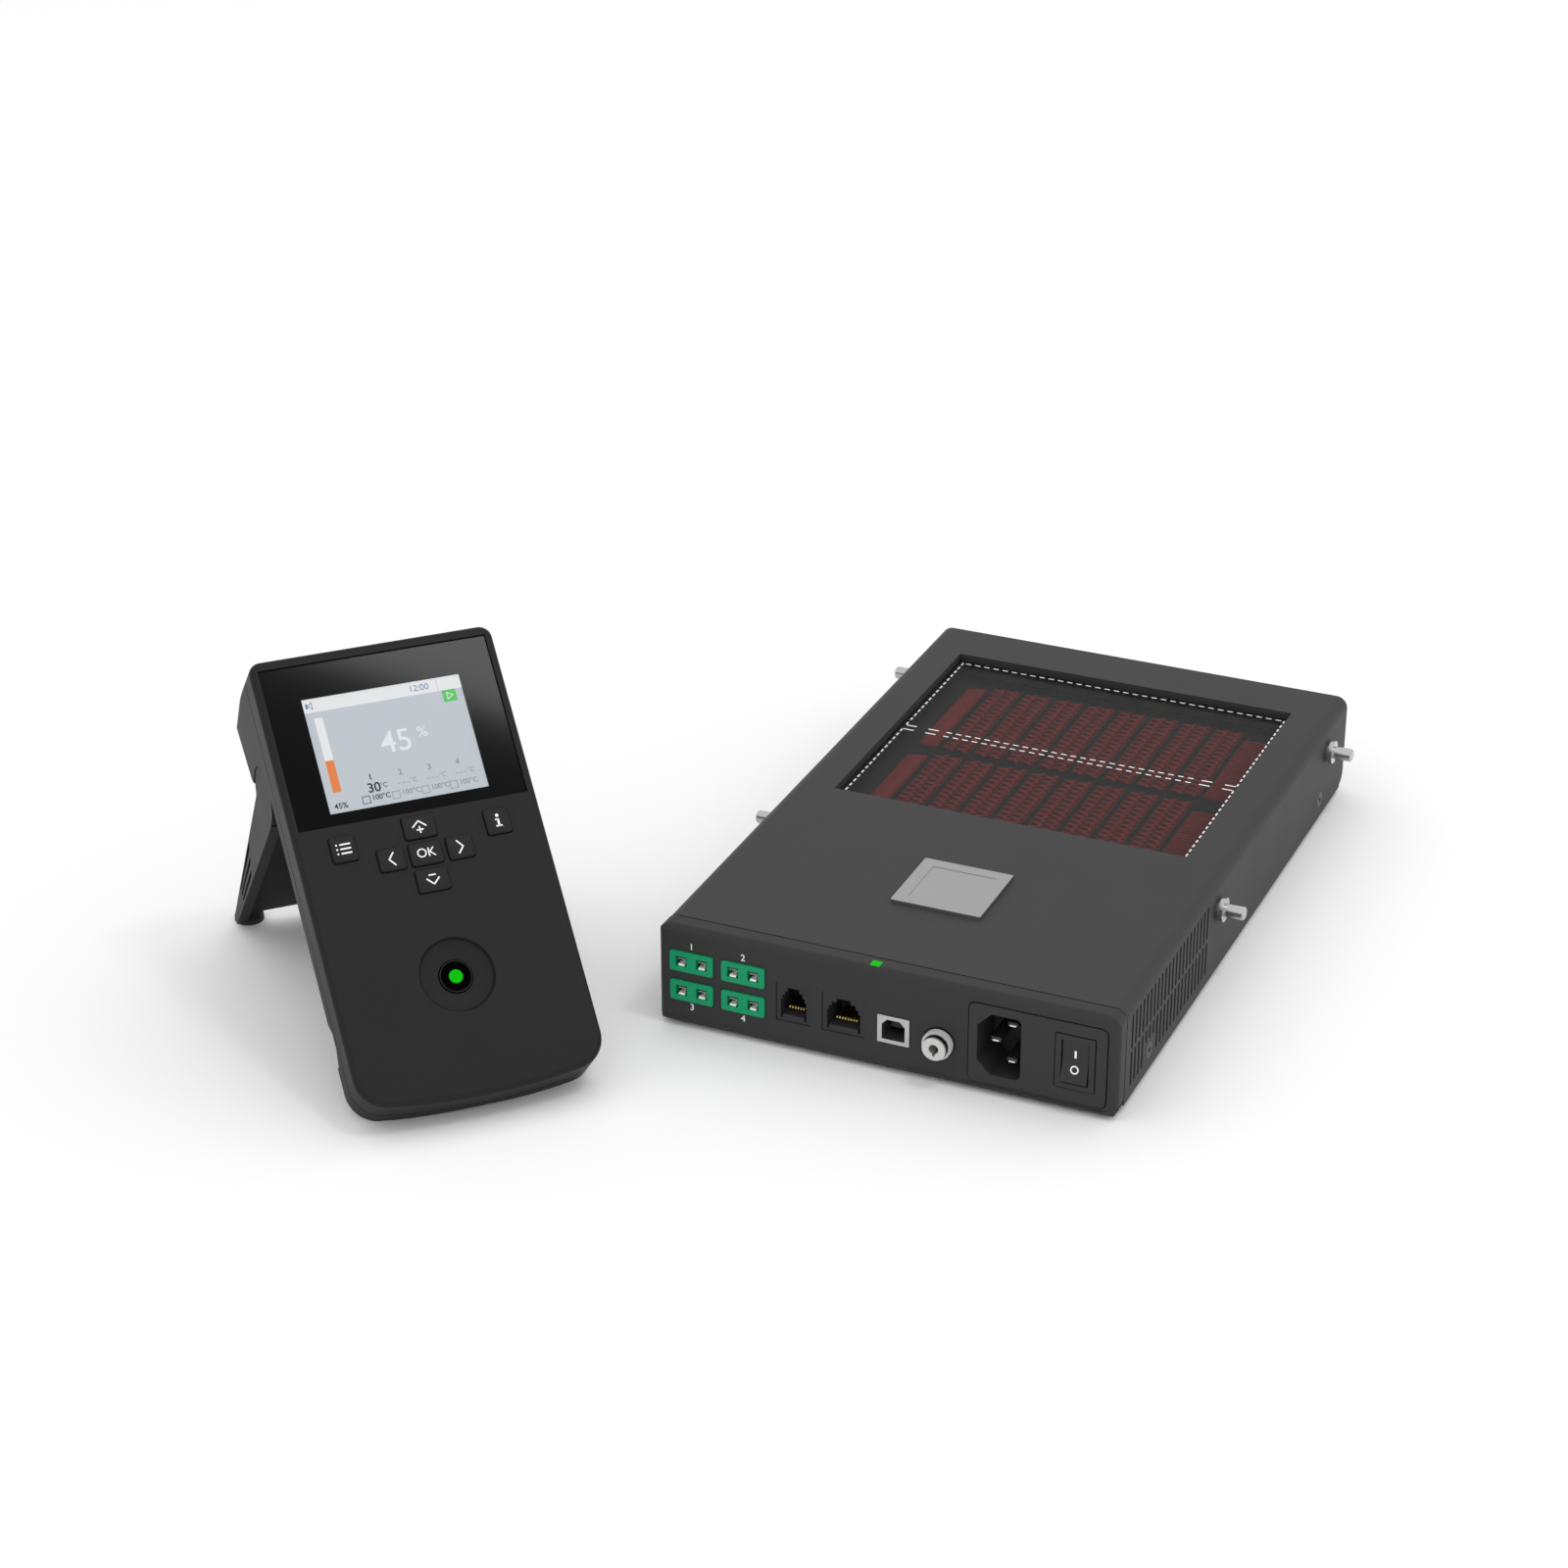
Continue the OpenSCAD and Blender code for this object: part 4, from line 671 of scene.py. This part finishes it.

# Inlet blades: three flat pins of nickelled brass, pressed into the back of the mains inlet. Their dark
# colour paints the shade in the inlet's recess, and a thin white bar at each tip paints its highlight.
INLET_X, INLET_Z = 42.4, 20.2
PINS = [(INLET_X + dx, INLET_Z + dz) for dx, dz in ((-2.6, 0.0), (3.4, 7.0), (3.4, -7.0))]
BLADE_TIP, BLADE_ROOT, BLADE_WIDE, BLADE_THICK, BLADE_EDGES = -3.8, -27.0, 4.0, 2.0, (0.25, 0.45)
TIP_WIDE, TIP_HIGH, TIP_THICK, TIP_LOW = 2.2, 0.55, 0.05, 0.4
blades = [rounded_block(x, z, BLADE_ROOT, BLADE_WIDE, BLADE_THICK, BLADE_TIP - BLADE_ROOT, *BLADE_EDGES)
          for x, z in PINS]
# Pin colour: nickel darkened as painted shade of the inlet's recess.
painted_shade_nickel = finish("painted_shade_nickel", (0.06, 0.06, 0.058), 0.2, metal=0.7, grain=3000.0, vary=0.06)
blades = inked(laid(joined(blades), "inlet_blades", PANEL), painted_shade_nickel, "heater")
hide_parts("inlet_pins")
# Tip bars: thin white blocks at the front of the pins, painted highlights on their bevels.
tips = [block(x, z - TIP_LOW, BLADE_TIP, TIP_WIDE, TIP_HIGH, TIP_THICK) for x, z in PINS]
tips = inked(laid(joined(tips), "inlet_tip_highlights", PANEL), white_tin, "heater")

# Jack rings: a black ring round the foot of the round jack's nut, which paints the shadow of the gap
# between nut and panel, and a black sleeve behind the jack's front disc, which paints the shadow of the
# neck there. Both lie round the jack's body.
ROUND_X, ROUND_Z = 20.7, 16.6
# radius, thickness, place before the panel, stretch along the jack, and the node that each belongs to
RINGS = {"jack_neck_shadow": (4.36, 0.1, 3.75, 9.0, "round_jack"), "jack_nut_shadow_ring": (5.5, 0.28, 0.28, 1.0, "round_nut")}
# Both rings in one near-black, as painted shadow.
painted_shadow_black = finish("painted_shadow_black", grey(0.004), 0.6, grain=2600.0, bump=0.05, vary=0.05, specular=0.05)
for name, (radius, thick, out, stretch, node) in RINGS.items():
    ring = laid(torus(ROUND_X, ROUND_Z, out, radius, thick, 64, stretch), name, PANEL)
    inked(ring, painted_shadow_black, "heater")

# Lower edges: the cap ends in a lip just over the table, cut here from the cap's own form and set lower,
# and the cover's side walls end in a narrow hem just over the tray. Both are one with cap and cover.
LIP_HIGH, LIP_DROP = 4.9, 0.9
WELD = 1e-7
HALF_WIDE, SKIN = 85.0, 0.02
HEM_LOW, HEM_HIGH, HEM_NEAR, HEM_FAR, HEM_THICK = 2.8, 4.1, 7.6, 268.0, 1.4
lip = bpy.data.objects.new("cap_lip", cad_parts["front_cap"].data.copy())
lip.data.name = "cap_lip"
scene.collection.objects.link(lip)
alone(lip)
bpy.ops.object.mode_set(mode="EDIT")
bpy.ops.mesh.select_all(action="SELECT")
bpy.ops.mesh.remove_doubles(threshold=WELD)
bpy.ops.mesh.select_all(action="SELECT")
bpy.ops.mesh.bisect(plane_co=(0.0, 0.0, LIP_HIGH * MM), plane_no=(0.0, 0.0, 1.0), use_fill=True,
                    clear_outer=True, threshold=WELD)
bpy.ops.mesh.select_all(action="SELECT")
bpy.ops.transform.translate(value=(0.0, 0.0, -LIP_DROP * MM))
bpy.ops.mesh.normals_make_consistent(inside=False)
bpy.ops.object.mode_set(mode="OBJECT")
inked(smoothed(lip), cap_plastic, "heater")
hems = [block(side * (HALF_WIDE - SKIN - HEM_THICK / 2), (HEM_NEAR + HEM_FAR) / 2, HEM_LOW, HEM_THICK,
              HEM_FAR - HEM_NEAR, HEM_HIGH - HEM_LOW) for side in (-1, 1)]
hems = inked(laid(joined(hems), "cover_hems", TOP), powder_coat, "heater")

# Rocker signs: a ring for off and a stroke for on in white ink, printed on the two leaning halves of the
# mains rocker's face, which tilts on its pivot in the mains module.
ROCKER_TILT, ROCKER_FACE = math.radians(7.0), math.atan2(1.0, 7.7)
PIVOT, FACE_RISE = Vector((69.75, 2.2, 20.2)) * MM, 2.1
OFF_RADIUS, OFF_WIDE, OFF_Y, SIGN_OUT, OFF_THICK = 1.5, 0.45, -2.9, 0.02, 0.03
ON_LOW, ON_HIGH, ON_WIDE = 1.8, 3.9, 0.7
ROCKER = (Matrix.Translation(HEATER + PIVOT) @ Matrix.Rotation(math.radians(90) - ROCKER_TILT, 4, "X")
          @ Matrix.Scale(MM, 4) @ Matrix.Translation((0.0, 0.0, FACE_RISE)))
bpy.ops.object.select_all(action="DESELECT")
bpy.ops.mesh.primitive_circle_add(vertices=40, radius=OFF_RADIUS, fill_type="NGON",
                                  location=(0.0, OFF_Y, SIGN_OUT))
off_sign = settled()
bpy.ops.object.mode_set(mode="EDIT")
bpy.ops.mesh.select_all(action="SELECT")
bpy.ops.mesh.inset(thickness=OFF_WIDE)
bpy.ops.mesh.delete(type="FACE")
bpy.ops.mesh.select_all(action="SELECT")
bpy.ops.mesh.extrude_region_move(TRANSFORM_OT_translate={"value": (0.0, 0.0, OFF_THICK)})
bpy.ops.mesh.select_all(action="SELECT")
bpy.ops.mesh.normals_make_consistent(inside=False)
bpy.ops.object.mode_set(mode="OBJECT")
off_sign = laid(off_sign, "rocker_off_sign", ROCKER @ Matrix.Rotation(-ROCKER_FACE, 4, "X"))
on_sign = stroke(0.0, ON_LOW, 0.0, ON_HIGH, ON_WIDE, SIGN_OUT)
on_sign = laid(on_sign, "rocker_on_sign", ROCKER @ Matrix.Rotation(ROCKER_FACE, 4, "X"))
for sign in (off_sign, on_sign):
    inked(sign, white_ink, "rocker_body")
